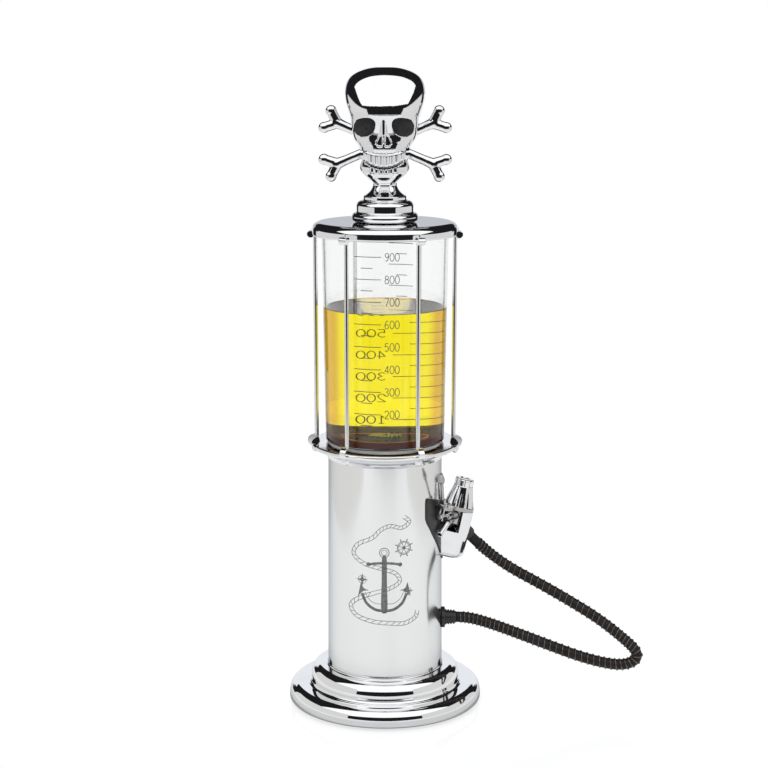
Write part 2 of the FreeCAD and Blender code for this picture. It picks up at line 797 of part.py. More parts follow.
# ---------------------------------------------------------------- cap
def make_cap():
    """The round cap: rounded top edge, skirt, ring that centres the tank, six lugs, filler neck."""
    skirt_in = cap_radius - size.cap_wall
    guide_in = size.tank_top_radius + 0.25
    guide_out = guide_in + size.cap_guide_width
    neck_out = size.filler_radius + size.filler_rim
    rounding = size.cap_edge_round
    neck_low = cap_ceiling - 6.0
    body = new_body("cap")
    turn_profile(body, "cap_turn", [
        (size.filler_radius, cap_top),
        (size.filler_radius, neck_low),
        (neck_out, neck_low),
        (neck_out, cap_ceiling),
        (guide_in, cap_ceiling),
        (guide_in, cap_bottom + 2.0),
        (guide_out, cap_bottom + 2.0),
        (guide_out, cap_ceiling),
        (skirt_in, cap_ceiling),
        (skirt_in, cap_bottom),
        (cap_radius, cap_bottom),
        (cap_radius, cap_top - rounding, QUARTER),
        (cap_radius - rounding, cap_top - 0.35),
        (size.pedestal_radius + 4.0, cap_top),
    ])
    doc.recompute()
    lugs = []
    for number, turn in enumerate(rod_turns):
        centre = spun(cap_lug_reach, 0, turn)
        sideways = spun(0, 1, turn)
        start = centre + Vector(0, 0, float(cap_lug_level)) - sideways * (float(size.cap_lug_width) / 2)
        lugs.append(cylinder(f"cap_lug_{number}", size.cap_lug_radius, size.cap_lug_width,
                             along(sideways, start)))
        seat = spun(rod_head_ring, 0, turn) + Vector(0, 0, float(cap_bottom))
        lugs.append(cylinder(f"cap_rod_boss_{number}", size.cap_lug_radius, cap_ceiling - cap_bottom,
                             Placement(seat, Rotation())))
    lugged = fused("cap_with_lugs", [body] + lugs)
    holes = [cylinder("cap_tank_room", guide_in, cap_ceiling - cap_bottom + 4.0,
                      Placement(Vector(0, 0, float(cap_bottom) - 4.0), Rotation()))]
    for number, turn in enumerate(rod_turns):
        seat = spun(rod_head_ring, 0, turn) + Vector(0, 0, float(cap_bottom) - 6.0)
        holes.append(cylinder(f"cap_rod_hole_{number}", size.rod_radius + size.rod_hole_gap,
                              rod_head - cap_bottom + 6.0, Placement(seat, Rotation())))
    room = holes.pop(0)
    neck = cylinder("cap_neck_keep", neck_out, 40.0, Placement(Vector(0, 0, float(cap_bottom) - 8.0), Rotation()))
    holes.append(cut("cap_tank_ring", room, neck))
    sub_parts.remove(body)
    body.Label = "cap_body"
    keep(cut("cap_cut", lugged, fused("cap_holes", holes)), "cap")


# ---------------------------------------------------------------- stopper with skull and bones
def make_pedestal():
    """The stepped pedestal: plug in the filler neck, round foot, drum, step, flared cone and pin."""
    foot_top = cap_top + size.pedestal_foot_height
    drum_top = foot_top + size.drum_height
    step_top = drum_top + size.step_height
    plug = size.filler_radius - size.plug_gap
    groove_level = cap_ceiling - 2.0
    groove = plug - size.seal_radius
    half = size.seal_radius * 1.15
    turned("stopper_pedestal", [
        (0, cap_top - size.plug_length),
        (plug - 1.5, cap_top - size.plug_length),
        (plug, cap_top - size.plug_length + 1.5),
        (plug, groove_level - half),
        (groove, groove_level - half),
        (groove, groove_level + half),
        (plug, groove_level + half),
        (plug, cap_top + size.free_gap),
        (size.pedestal_radius - 2.6, cap_top + size.free_gap, 0.32),
        (size.pedestal_radius - 2.2, foot_top - 0.6, -QUARTER),
        (size.drum_radius, foot_top + 0.8),
        (size.drum_radius, drum_top - 2.2, QUARTER),
        (size.drum_radius - 2.2, drum_top),
        (size.step_radius + 1.0, drum_top + 0.3),
        (size.step_radius, drum_top + 1.2),
        (size.step_radius, step_top - 1.0, QUARTER),
        (size.step_radius - 1.0, step_top, -0.1),
        (size.neck_radius, flare_top),
        (size.neck_radius, pedestal_top),
        (size.neck_pin_radius, pedestal_top),
        (size.neck_pin_radius, pedestal_top + size.neck_pin_height),
        (0, pedestal_top + size.neck_pin_height),
    ])
    ring = doc.addObject("Part::Torus", "stopper_seal_ring")
    seal = (size.filler_radius - 0.1 - groove) / 2
    for field, value in (("Radius1", groove + seal), ("Radius2", seal)):
        setattr(ring, field, value.number)
        ring.setExpression(field, value.formula)
    ring.Placement = Placement(Vector(0, 0, float(groove_level)), Rotation())
    keep(ring, "stopper_seal")


def ring_section(level, half_width, front, back, squareness=2.5, points=20):
    """A closed smooth curve at one level: a rounded oval, wider or narrower front and back."""
    corners = []
    for number in range(points):
        angle = 2 * math.pi * number / points
        across, deep = math.cos(angle), math.sin(angle)
        x = half_width * math.copysign(abs(across) ** (2 / squareness), across)
        y = (back if deep > 0 else -front) * math.copysign(abs(deep) ** (2 / squareness), deep)
        corners.append(Vector(x, y, level))
    curve = Part.BSplineCurve()
    curve.interpolate(Points=corners, PeriodicFlag=True)
    return Part.Wire(curve.toShape())


def lofted(sections):
    """A smooth solid through a stack of sections."""
    return Part.makeLoft([ring_section(*section) for section in sections], True, False)


def drop_outline(width, height, lean):
    """The rounded outline of an eye socket in the XZ plane: flat brow, round below."""
    points = []
    count = 14
    for number in range(count):
        angle = 2 * math.pi * number / count
        x = math.cos(angle)
        z = math.sin(angle)
        flat = 0.80 if z > 0 else 1.0
        x_scale = width / 2 * (1.0 - 0.10 * max(0.0, -z))
        points.append(Vector(math.copysign(abs(x) ** 0.82, x) * x_scale, 0,
                             math.copysign(abs(z) ** 0.78, z) * height / 2 * flat + lean * x))
    curve = Part.BSplineCurve()
    curve.interpolate(Points=points, PeriodicFlag=True)
    return Part.Face(Part.Wire(curve.toShape()))


def make_skull():
    """Cranium and face lofted through level sections, with sockets, nose, teeth and lower jaw."""
    lift = float(size.skull_lift) / 86.0
    half = float(size.skull_width) / 61.6
    deep = float(size.skull_depth) / 57.5
    chin = float(skull_chin)

    def stack(rows):
        return [(chin + rise * lift, wide * half, front * deep, back * deep, square)
                for rise, wide, front, back, square in rows]

    cranium = lofted(stack([
        (26.5, 18.6, -20.5, 2.0, 2.6),
        (30.0, 21.4, -21.5, 6.0, 2.6),
        (34.5, 24.2, -22.0, 12.0, 2.5),
        (41.5, 25.4, -23.4, 19.0, 2.5),
        (47.5, 26.2, -26.4, 23.5, 2.45),
        (52.5, 27.6, -28.0, 26.5, 2.4),
        (58.5, 29.6, -27.6, 28.5, 2.35),
        (67.5, 30.8, -24.6, 30.0, 2.3),
        (76.5, 28.6, -19.4, 27.0, 2.2),
        (82.0, 22.4, -14.0, 20.5, 2.1),
        (85.2, 13.4, -8.0, 11.5, 2.0),
        (86.2, 4.0, -2.5, 3.5, 2.0),
    ]))
    jaw = lofted(stack([
        (0.0, 7.8, -16.0, 2.0, 2.5),
        (2.0, 10.2, -19.4, 3.0, 2.6),
        (6.5, 15.4, -21.6, 4.0, 2.7),
        (11.0, 19.0, -22.2, 5.0, 2.8),
        (15.0, 18.6, -21.2, 5.0, 2.8),
        (19.0, 17.0, -19.6, 4.0, 2.6),
    ]))
    maxilla = lofted(stack([
        (12.0, 16.0, -18.4, 2.0, 2.6),
        (20.0, 17.6, -20.0, 2.0, 2.6),
        (26.0, 18.6, -22.0, 2.0, 2.6),
        (31.0, 20.0, -22.0, 2.0, 2.5),
    ]))
    skull = cranium.fuse([jaw, maxilla])

    # upper and lower rows of teeth on one arc
    centre = Vector(0, -float(size.tooth_arc_setback) * deep, 0)
    teeth = []
    upper_count, lower_count = 8, 6
    arc = float(size.tooth_arc_radius)
    pitch = float(size.tooth_width) / arc
    for count, height, level, width in (
            (upper_count, float(size.tooth_height), float(tooth_level), 1.0),
            (lower_count, float(size.tooth_height) * 0.5, float(tooth_level) - float(size.tooth_height) * 0.62, 0.9)):
        for number in range(count):
            angle = (number - (count - 1) / 2) * pitch * width
            raised = float(size.tooth_arc_lift) * (angle / (upper_count / 2 * pitch)) ** 2
            tooth = Part.makeCylinder(1.0, height, Vector(), UP)
            stretch = FreeCAD.Matrix()
            stretch.scale(float(size.tooth_width) * 0.49 * width, float(size.tooth_depth) / 2, 1.0)
            tooth = tooth.transformGeometry(stretch)
            tooth.Placement = Placement(
                centre + Vector(math.sin(angle) * arc, -math.cos(angle) * arc, level + raised),
                Rotation(UP, angle / DEGREE))
            teeth.append(tooth)
    skull = skull.fuse(teeth)

    # nose ridge between the sockets
    ridge = Part.makeCone(2.7, 1.9, 15.0, Vector(0, -float(size.ridge_front) * deep, float(nose_level) + 1.0),
                          Vector(0, -0.1, 1))
    skull = skull.fuse(ridge)

    # sockets
    cutters = []
    inlays = []
    depth = float(size.socket_depth)
    front = -float(size.skull_depth)
    inlay_front = -24.0 * deep + depth
    for side in (-1, 1):
        face = drop_outline(float(size.socket_width), float(size.socket_height), 1.0 * -side)
        face.translate(Vector(side * float(size.socket_spacing) / 2, 0, float(socket_level)))
        hollow = face.copy()
        hollow.translate(Vector(0, front, 0))
        cutters.append(hollow.extrude(Vector(0, -front + inlay_front + float(size.inlay_thickness), 0)))
        plate = face.copy()
        plate.scale(0.985, Vector(side * float(size.socket_spacing) / 2, 0, float(socket_level)))
        plate.translate(Vector(0, inlay_front, 0))
        inlays.append(plate.extrude(Vector(0, float(size.inlay_thickness), 0)))
    # nose: two leaning slots that meet at the ridge
    for side in (-1, 1):
        width = float(size.nose_width)
        height = float(size.nose_height)
        level = float(nose_level)
        corners = [Vector(side * 0.7, front, level + height * 0.42),
                   Vector(side * width * 0.30, front, level + height * 0.30),
                   Vector(side * width * 0.5, front, level - height * 0.22),
                   Vector(side * width * 0.40, front, level - height * 0.5),
                   Vector(side * 0.7, front, level - height * 0.5)]
        face = Part.Face(Part.makePolygon(corners + corners[:1]))
        cutters.append(face.extrude(Vector(0, -front - 18.5 * deep, 0)))
    # the gap under the upper teeth, bent like their arc
    reach, gap_height = float(size.mouth_width) / 2, float(size.mouth_gap)
    gap_level = float(tooth_level)
    corner_level = gap_level + float(size.tooth_arc_lift) * 1.9
    upper = Part.Arc(Vector(-reach + gap_height, front, corner_level), Vector(0, front, gap_level),
                     Vector(reach - gap_height, front, corner_level)).toShape()
    lower = Part.Arc(Vector(-reach, front, corner_level), Vector(0, front, gap_level - gap_height),
                     Vector(reach, front, corner_level)).toShape()
    ends = [Part.makeLine(upper.Vertexes[place].Point, lower.Vertexes[place].Point) for place in (0, -1)]
    gap_face = Part.Face(Part.Wire(Part.__sortEdges__([upper, lower] + ends)))
    cutters.append(gap_face.extrude(Vector(0, -front - float(size.mouth_depth) * deep, 0)))
    # room for the neck and its pin
    neck = float(size.neck_radius) + float(size.snug_gap)
    cutters.append(Part.makeCylinder(neck, 30.0, Vector(0, 0, float(pedestal_top) - 30.0)))
    cutters.append(Part.makeCylinder(float(size.neck_pin_radius + size.snug_gap),
                                     float(size.neck_pin_height) + 0.5, Vector(0, 0, float(pedestal_top) - 0.1)))
    # slot for the crossed bones, open at the back so that they can be laid in
    gap = float(size.snug_gap)
    for lean in (-1, 1):
        for piece in bone_shaft(lean, gap):
            cutters.append(piece)
        width = (float(size.bone_radius) + gap) * 2
        span = 2 * float(size.bone_half_length)
        slot = Part.makeBox(span, float(size.skull_depth), width, Vector(-span / 2, 0, -width / 2))
        slot.Placement = bone_place(lean)
        cutters.append(slot)
    skull = skull.cut(cutters)
    solids = sorted(skull.Solids, key=lambda solid: solid.Volume)
    shaped("skull", solids[-1], stopper_way)
    shaped("eye_inlays", Part.makeCompound(inlays), stopper_way)


stopper_way = Placement(Vector(), Rotation(UP, float(size.stopper_turn)))


def bone_place(lean):
    """Where a bone's own frame lies: X along the bone, crossing at the stopper's axis."""
    crossing = Vector(0, float(size.bone_setback), float(bone_crossing_level))
    return Placement(crossing, Rotation(BACK, lean * float(size.bone_slope)))


def bone_shaft(lean, grow=0.0):
    """The round shaft of one bone, grown for its slot."""
    half = float(size.bone_half_length) - float(size.bone_fork_length)
    shaft = Part.makeCylinder(float(size.bone_radius) + grow, 2 * half, Vector(-half, 0, 0), ACROSS)
    shaft.Placement = bone_place(lean)
    return [shaft]


def make_bones():
    """Two bones crossing behind the jaw, moulded as one piece, each end with two knobs."""
    pieces = []
    half = float(size.bone_half_length)
    fork = half - float(size.bone_fork_length)
    knob = float(size.bone_knob_radius)
    for lean in (-1, 1):
        place = bone_place(lean)
        pieces += bone_shaft(lean)
        for end in (-1, 1):
            flared = float(size.bone_radius) * float(size.bone_flare)
            flare = Part.makeCone(float(size.bone_radius), flared, float(size.bone_flare_length),
                                  Vector(end * (fork - float(size.bone_flare_length)), 0, 0), Vector(end, 0, 0))
            root_ball = Part.makeSphere(flared * 1.03, Vector(end * fork, 0, 0))
            for piece in (flare, root_ball):
                piece.Placement = place
                pieces.append(piece)
            for side in (-1, 1):
                start = Vector(end * (fork - 1.0), 0, 0)
                tip = Vector(end * half, 0, side * float(size.bone_knob_spread))
                arm = Part.makeCone(flared * 0.93, knob * 0.9, (tip - start).Length, start, tip - start)
                ball = Part.makeSphere(knob, tip)
                for piece in (arm, ball):
                    piece.Placement = place
                    pieces.append(piece)
    bones = pieces[0]
    for piece in pieces[1:]:
        bones = bones.fuse(piece)
    shaped("crossbones", bones, stopper_way)


# ---------------------------------------------------------------- liquid way inside
def hexagon(across, height, place):
    """A six-sided nut blank."""
    radius = float(across) / math.sqrt(3)
    corners = [spun(radius, 0, 60 * number) for number in range(6)]
    prism = Part.Face(Part.makePolygon(corners + corners[:1])).extrude(Vector(0, 0, float(height)))
    prism.Placement = place
    return prism


def make_outlet():
    """Stem through the tank floor, its nut, the inner tube, the wall fitting and two clamps."""
    flange_low = tank_bottom + size.tank_floor
    flange_top = flange_low + size.stem_flange_height
    stem_low = flange_low - size.stem_length
    bore = size.stem_bore_radius
    turned("tank_outlet", [
        (bore, stem_low - size.barb_length),
        (size.barb_radius - 0.6, stem_low - size.barb_length),
        (size.barb_radius, stem_low - size.barb_length + 2.0),
        (size.barb_radius, stem_low),
        (size.stem_radius, stem_low),
        (size.stem_radius, flange_low),
        (size.stem_flange_radius, flange_low),
        (size.stem_flange_radius, flange_top - 0.8, QUARTER),
        (size.stem_flange_radius - 0.8, flange_top),
        (bore, flange_top),
    ])
    nut_top = collar_floor - size.collar_hub_thickness
    nut = hexagon(size.stem_nut_across, size.stem_nut_height,
                  Placement(Vector(0, 0, float(nut_top - size.stem_nut_height)), Rotation()))
    hole = Part.makeCylinder(float(size.stem_radius + size.snug_gap), 60.0, Vector(0, 0, float(nut_top) - 30.0))
    shaped("outlet_nut", nut.cut(hole))

    # inner tube: down the column, then out to the wall fitting
    level = float(size.outlet_level)
    bend = float(size.inner_tube_bend)
    start = Vector(0, 0, float(stem_low) - 1.0)
    barb_end = float(column_inside - size.outlet_nut_height - size.barb_length)
    finish = Vector(barb_end + float(size.barb_length) - 1.0, 0, level)
    turn_in = Vector(0, 0, level + bend)
    turn_out = Vector(bend, 0, level)
    middle = Vector(bend - bend * math.cos(45 * DEGREE), 0, level + bend - bend * math.sin(45 * DEGREE))
    path = Part.Wire([Part.LineSegment(start, turn_in).toShape(),
                      Part.Arc(turn_in, middle, turn_out).toShape(),
                      Part.LineSegment(turn_out, finish).toShape()])
    tubes = []
    for radius in (float(size.inner_tube_radius), float(size.barb_radius + size.snug_gap)):
        ring = Part.Wire(Part.makeCircle(radius, start, Vector(0, 0, -1)))
        tubes.append(path.makePipeShell([ring], True, True))
    shaped("inner_tube", tubes[0].cut(tubes[1]))

    inner = float(size.inner_tube_radius + size.snug_gap)
    outer = inner + float(size.clamp_thickness)
    width = float(size.clamp_width)
    clamps = []
    for base, direction in ((Vector(0, 0, float(stem_low) - 9.0), UP),
                            (Vector(finish.x - 9.0, 0, level), ACROSS)):
        band = Part.makeCylinder(outer, width, base, direction)
        clamps.append(band.cut(Part.makeCylinder(inner, width, base, direction)))
    shaped("hose_clamps", Part.makeCompound(clamps))

    # wall fitting, turned about the X axis at the outlet's level
    flange_in = size.column_radius
    fitting = new_body("wall_fitting")
    turn_profile(fitting, "fitting_turn", [
        (bore, column_inside - size.outlet_nut_height - size.barb_length),
        (size.barb_radius - 0.6, column_inside - size.outlet_nut_height - size.barb_length),
        (size.barb_radius, column_inside - size.outlet_nut_height - size.barb_length + 2.0),
        (size.barb_radius, column_inside - size.outlet_nut_height),
        (size.outlet_barrel_radius, column_inside - size.outlet_nut_height),
        (size.outlet_barrel_radius, flange_in),
        (size.outlet_flange_radius, flange_in),
        (size.outlet_flange_radius, flange_in + size.outlet_flange_thickness - 0.6, QUARTER),
        (size.outlet_flange_radius - 0.6, flange_in + size.outlet_flange_thickness),
        (bore, flange_in + size.outlet_flange_thickness),
    ])
    fitting.Placement = outlet_way
    nut = hexagon(size.outlet_nut_across, size.outlet_nut_height,
                  outlet_way.multiply(Placement(Vector(0, 0, float(column_inside - size.outlet_nut_height)),
                                                Rotation())))
    hole = Part.makeCylinder(float(size.outlet_barrel_radius + size.snug_gap), 60.0,
                             Vector(0, 0, level), ACROSS)
    outer_wall = Part.makeCylinder(float(column_inside), 40.0, Vector(0, 0, level - 20.0))
    shaped("fitting_nut", nut.cut(hole).common(outer_wall))

    relief = new_body("hose_relief")
    relief_start = flange_in + size.outlet_flange_thickness
    turn_profile(relief, "relief_turn", [
        (bore, relief_start),
        (size.relief_radius, relief_start),
        (size.relief_radius, relief_start + 2.0, SOFT),
        (size.hose_radius + 0.2, relief_start + size.relief_length),
        (bore, relief_start + size.relief_length),
    ])
    relief.Placement = outlet_way
    return float(relief_start + size.relief_length)


# ---------------------------------------------------------------- holster and tap
tap_tilt = float(size.tap_tilt)
holster_way = Placement(Vector(float(tap_reach), 0, float(size.tap_level)), Rotation(BACK, tap_tilt))
tap_way = holster_way.multiply(Placement(Vector(), Rotation(UP, -float(size.tap_turn))))
hose_boss_turn = float(size.hose_boss_turn) * DEGREE
hose_boss_slope = float(size.hose_boss_slope) * DEGREE
hose_boss_root = holster_way.multVec(Vector(0, 0, -float(size.hose_boss_drop)))
hose_boss_way = holster_way.Rotation.multVec(Vector(
    math.cos(hose_boss_turn) * math.cos(hose_boss_slope),
    math.sin(hose_boss_turn) * math.cos(hose_boss_slope),
    -math.sin(hose_boss_slope)))
tap_front_turn = -90.0 - float(size.tap_turn)


def make_holster():
    """A U-shaped pocket on the column's side, with a window in front and a slot for the hose."""
    outer, wall = size.holster_radius, size.holster_wall
    inner = outer - wall
    depth = size.holster_depth
    top = -(size.flange_thickness + size.free_gap)
    back = 34.0

    def pocket_form(name, radius, low, high):
        """A half-round prism: the round end outward and the open end at the column."""
        drum = cylinder(name + "_drum", radius, high - low,
                        holster_way.multiply(Placement(Vector(0, 0, float(low)), Rotation())))
        box = block(name + "_box", back, radius * 2, high - low, (-back, -radius, low), holster_way)
        joined = fused(name + "_form", [drum, box])
        doc.recompute()
        bottom = holster_way.multVec(Vector(0, 0, float(low)))
        axis = holster_way.Rotation.multVec(UP)
        back_plane = holster_way.multVec(Vector(-back, 0, 0))
        outward = holster_way.Rotation.multVec(ACROSS)
        edges = []
        for number, edge in enumerate(joined.Shape.Edges, start=1):
            first, last = edge.ParameterRange
            points = [edge.valueAt(first + (last - first) * share) for share in (0.1, 0.5, 0.9)]
            on_floor = all(abs((point - bottom).dot(axis)) < 0.01 for point in points)
            at_back = all(abs((point - back_plane).dot(outward)) < 0.01 for point in points)
            if on_floor and not at_back:
                rounding = float(size.holster_round) - float(outer - radius)
                edges.append((number, rounding, rounding))
        soft = doc.addObject("Part::Fillet", name + "_round")
        soft.Base = joined
        soft.Edges = edges
        doc.recompute()
        return soft

    shell = cut("holster_shell", pocket_form("holster_outer", outer, -depth, top),
                pocket_form("holster_inner", inner, wall - depth, top + 10.0))
    # the window faces the tap's front, the slot faces the hose
    window_way = holster_way.multiply(Placement(Vector(), Rotation(UP, tap_front_turn)))
    window = block("holster_window", 30.0, size.holster_window_width, size.holster_window_depth + 20.0,
                   (0.0, -size.holster_window_width / 2, -size.holster_window_depth), window_way)
    slot_way = holster_way.multiply(Placement(Vector(), Rotation(UP, float(size.hose_boss_turn))))
    slot = block("holster_slot", 30.0, size.holster_hose_slot_width, size.holster_hose_slot_depth + 20.0,
                 (0.0, -size.holster_hose_slot_width / 2, -size.holster_hose_slot_depth), slot_way)
    opened = cut("holster_opened", shell, fused("holster_openings", [window, slot]))
    # the saddle that lies on the column behind the pocket
    saddle_ring = cylinder("saddle_ring", size.column_radius + wall, 80.0,
                           Placement(Vector(0, 0, 80.0), Rotation()))
    saddle_block = pocket_form("saddle_outer", outer, -depth, top)
    saddle_form = doc.addObject("Part::MultiCommon", "saddle_form")
    saddle_form.Shapes = [saddle_block, saddle_ring]
    column_room = cylinder("column_room", size.column_radius + size.snug_gap, 200.0,
                           Placement(Vector(0, 0, 40.0), Rotation()))
    relief = block("saddle_relief", 20.0, size.holster_window_width, size.holster_window_depth + 20.0,
                   (10.5, -size.holster_window_width / 2, -size.holster_window_depth), window_way)
    holes = [column_room, relief]
    for name, level in (("low", size.holster_screw_low), ("high", size.holster_screw_high)):
        holes.append(cylinder(f"saddle_hole_{name}", size.holster_screw_radius + size.snug_gap, 60.0,
                              Placement(Vector(0, 0, float(level)), Rotation(UP, ACROSS))))
    both = fused("holster_both", [opened, saddle_form])
    doc.recompute()
    first = cut("holster_cut", both, fused("holster_holes", holes))
    keep(first, "holster")

    screws = []
    for level in (float(size.holster_screw_low), float(size.holster_screw_high)):
        head = Part.makeCylinder(float(size.holster_screw_radius) * 1.9, 1.4,
                                 Vector(float(column_inside) - 1.6, 0, level), ACROSS)
        shank = Part.makeCylinder(float(size.holster_screw_radius), float(size.holster_screw_length),
                                  Vector(float(column_inside) - 1.6, 0, level), ACROSS)
        screws.append(head.fuse(shank))
    shaped("holster_screws", Part.makeCompound(screws))


def spout_direction():
    """The spout's direction in the tap's own frame: forward, a little aside and down."""
    turn = (-90.0 + float(size.spout_turn)) * DEGREE
    slope = float(size.spout_slope) * DEGREE
    return Vector(math.cos(turn) * math.cos(slope), math.sin(turn) * math.cos(slope), -math.sin(slope))


def make_tap_body():
    """The valve body: barrel, flange, lever arm with two ears, valve chamber, sockets and passages."""
    flange = size.flange_thickness
    barrel = float(size.barrel_radius)
    length = float(size.barrel_length)
    drop = float(size.chamber_drop)
    profile = Part.makePolygon([
        Vector(0, 0, -length), Vector(barrel - 4.0, 0, -length), Vector(barrel, 0, -length + 4.0),
        Vector(barrel, 0, -float(flange)), Vector(float(size.flange_radius), 0, -float(flange)),
        Vector(float(size.flange_radius), 0, 0), Vector(5.0, 0, 0), Vector(5.0, 0, 8.0), Vector(0, 0, 8.0),
        Vector(0, 0, -length)])
    turned_part = Part.Face(profile).revolve(Vector(), UP, 360)
    reach = float(size.arm_reach)
    width = float(size.arm_width)
    neck_width = float(size.pivot_lug_width)
    arm_outline = [Vector(-width / 2, 0, 0), Vector(width / 2, 0, 0), Vector(width / 2, -reach + 4.0, 0),
                   Vector(neck_width / 2, -reach, 0), Vector(-neck_width / 2, -reach, 0),
                   Vector(-width / 2, -reach + 4.0, 0)]
    plate = Part.Face(Part.makePolygon(arm_outline + arm_outline[:1])).extrude(Vector(0, 0, -float(flange)))
    chamber = Part.makeCylinder(float(size.chamber_radius), float(size.chamber_reach),
                                Vector(0, 0, -drop), FRONT)
    pivot = Vector(0, -float(size.pivot_reach), float(size.pivot_lift))
    lug_radius = float(size.pivot_lug_radius)
    lug = Part.makeCylinder(lug_radius, neck_width, pivot - Vector(neck_width / 2, 0, 0), ACROSS)
    web = Part.makeBox(neck_width, pivot.Length - reach + 2.0, pivot.z + float(flange),
                       Vector(-neck_width / 2, pivot.y, -float(flange)))
    spout_root = Vector(0, -float(size.spout_root_reach), -float(size.spout_drop))
    socket = Part.makeCylinder(float(size.spout_radius) + 1.0, float(size.spout_socket), spout_root,
                               spout_direction())
    to_tap = tap_way.inverse()
    boss_root = to_tap.multVec(hose_boss_root)
    boss_way = to_tap.Rotation.multVec(hose_boss_way)
    boss = Part.makeCylinder(float(size.hose_boss_radius), float(size.hose_boss_length), boss_root, boss_way)
    body = turned_part
    for piece in (plate, chamber, socket, boss, lug, web):
        body = body.fuse(piece)

    gap = float(size.snug_gap)
    seat = float(size.seat_reach)
    cutters = [
        Part.makeCylinder(float(size.lever_pin_radius) + gap, 20.0, pivot - Vector(10, 0, 0), ACROSS),
        Part.makeCylinder(float(size.chamber_bore), 40.0, Vector(0, -seat, -drop), FRONT),
        Part.makeCylinder(float(size.seat_hole), seat + 2.0, Vector(0, 2.0, -drop), FRONT),
        Part.makeCylinder(float(size.seat_hole), float(size.hose_boss_drop) - drop + 1.0,
                          Vector(0, 1.0, -drop), Vector(0, 0, -1)),
        Part.makeCylinder(float(size.stem_bore_radius), 60.0, boss_root, boss_way),
        Part.makeCylinder(float(size.spout_radius) + gap, 40.0,
                          spout_root + spout_direction() * float(size.spout_seat), spout_direction()),
        Part.makeCylinder(float(size.spout_bore), 10.0, spout_root + spout_direction() * 4.4, spout_direction()),
    ]
    for cutter in cutters:
        body = body.cut(cutter)
    shaped("tap_body", sorted(body.Solids, key=lambda solid: solid.Volume)[-1], tap_way)

    # spout, its ferrule, the gland and the hose ferrule
    start = spout_root + spout_direction() * (float(size.spout_seat) + gap)
    tube_length = float(size.spout_length - size.spout_seat) - gap
    tube = Part.makeCylinder(float(size.spout_radius), tube_length, start, spout_direction())
    bore = Part.makeCylinder(float(size.spout_bore), tube_length, start, spout_direction())
    shaped("spout", tube.cut(bore), tap_way)

    gland_face = -float(size.chamber_reach)
    gland = Part.makeCylinder(float(size.gland_radius), float(size.gland_thickness),
                              Vector(0, gland_face, -drop), FRONT)
    plug = Part.makeCylinder(float(size.chamber_bore) - gap, 2.6, Vector(0, gland_face + 2.6, -drop), FRONT)
    rod_hole = Part.makeCylinder(float(size.plunger_radius) + gap, 40.0, Vector(0, 0, -drop), FRONT)
    shaped("gland_nut", gland.fuse(plug).cut(rod_hole), tap_way)

    ring_end = float(size.hose_boss_length)
    ring_start = boss_root + boss_way * (ring_end - float(size.ferrule_length))
    ferrule = Part.makeCylinder(float(size.ferrule_radius), float(size.ferrule_length), ring_start, boss_way)
    sleeve = Part.makeCylinder(float(size.hose_boss_radius) + gap, float(size.ferrule_length), ring_start, boss_way)
    shaped("hose_ferrule", ferrule.cut(sleeve), tap_way)


def make_valve():
    """The plunger with its seal, and the spring that holds it on the seat."""
    drop = float(size.chamber_drop)
    seal_thickness = 1.2
    seal_back = -(float(size.seat_reach) + 0.05)
    disc_back = seal_back - seal_thickness
    disc = Part.makeCylinder(float(size.valve_disc_radius), float(size.valve_disc_thickness),
                             Vector(0, disc_back, -drop), FRONT)
    knob_back = -float(size.pivot_reach + size.lever_arm_depth / 2) - 0.2
    rod = Part.makeCylinder(float(size.plunger_radius), disc_back - knob_back + 1.0,
                            Vector(0, disc_back, -drop), FRONT)
    knob = Part.makeCylinder(1.8, 1.5, Vector(0, knob_back, -drop), FRONT)
    shaped("valve_plunger", disc.fuse([rod, knob]), tap_way)
    seal = Part.makeCylinder(float(size.valve_disc_radius), seal_thickness, Vector(0, seal_back, -drop), FRONT)
    shaped("valve_seal", seal, tap_way)

    wire = float(size.spring_wire)
    mean = (float(size.plunger_radius) + float(size.chamber_bore)) / 2
    start = disc_back - float(size.valve_disc_thickness) - wire - 0.05
    finish = -float(size.chamber_reach) + 2.6 + wire + 0.05
    pitch = (start - finish) / float(size.spring_turns)
    helix = Part.makeHelix(pitch, start - finish, mean)
    rim = [Vector(mean + wire * math.cos(math.pi / 4 * (side + 0.5)), 0, wire * math.sin(math.pi / 4 * (side + 0.5)))
           for side in range(8)]
    ring = Part.makePolygon(rim + rim[:1])
    coil = Part.Wire(helix).makePipeShell([ring], True, True)
    coil.Placement = Placement(Vector(0, start, -drop), Rotation(UP, FRONT))
    settled = coil.copy()
    shaped("valve_spring", settled, tap_way.multiply(coil.Placement))


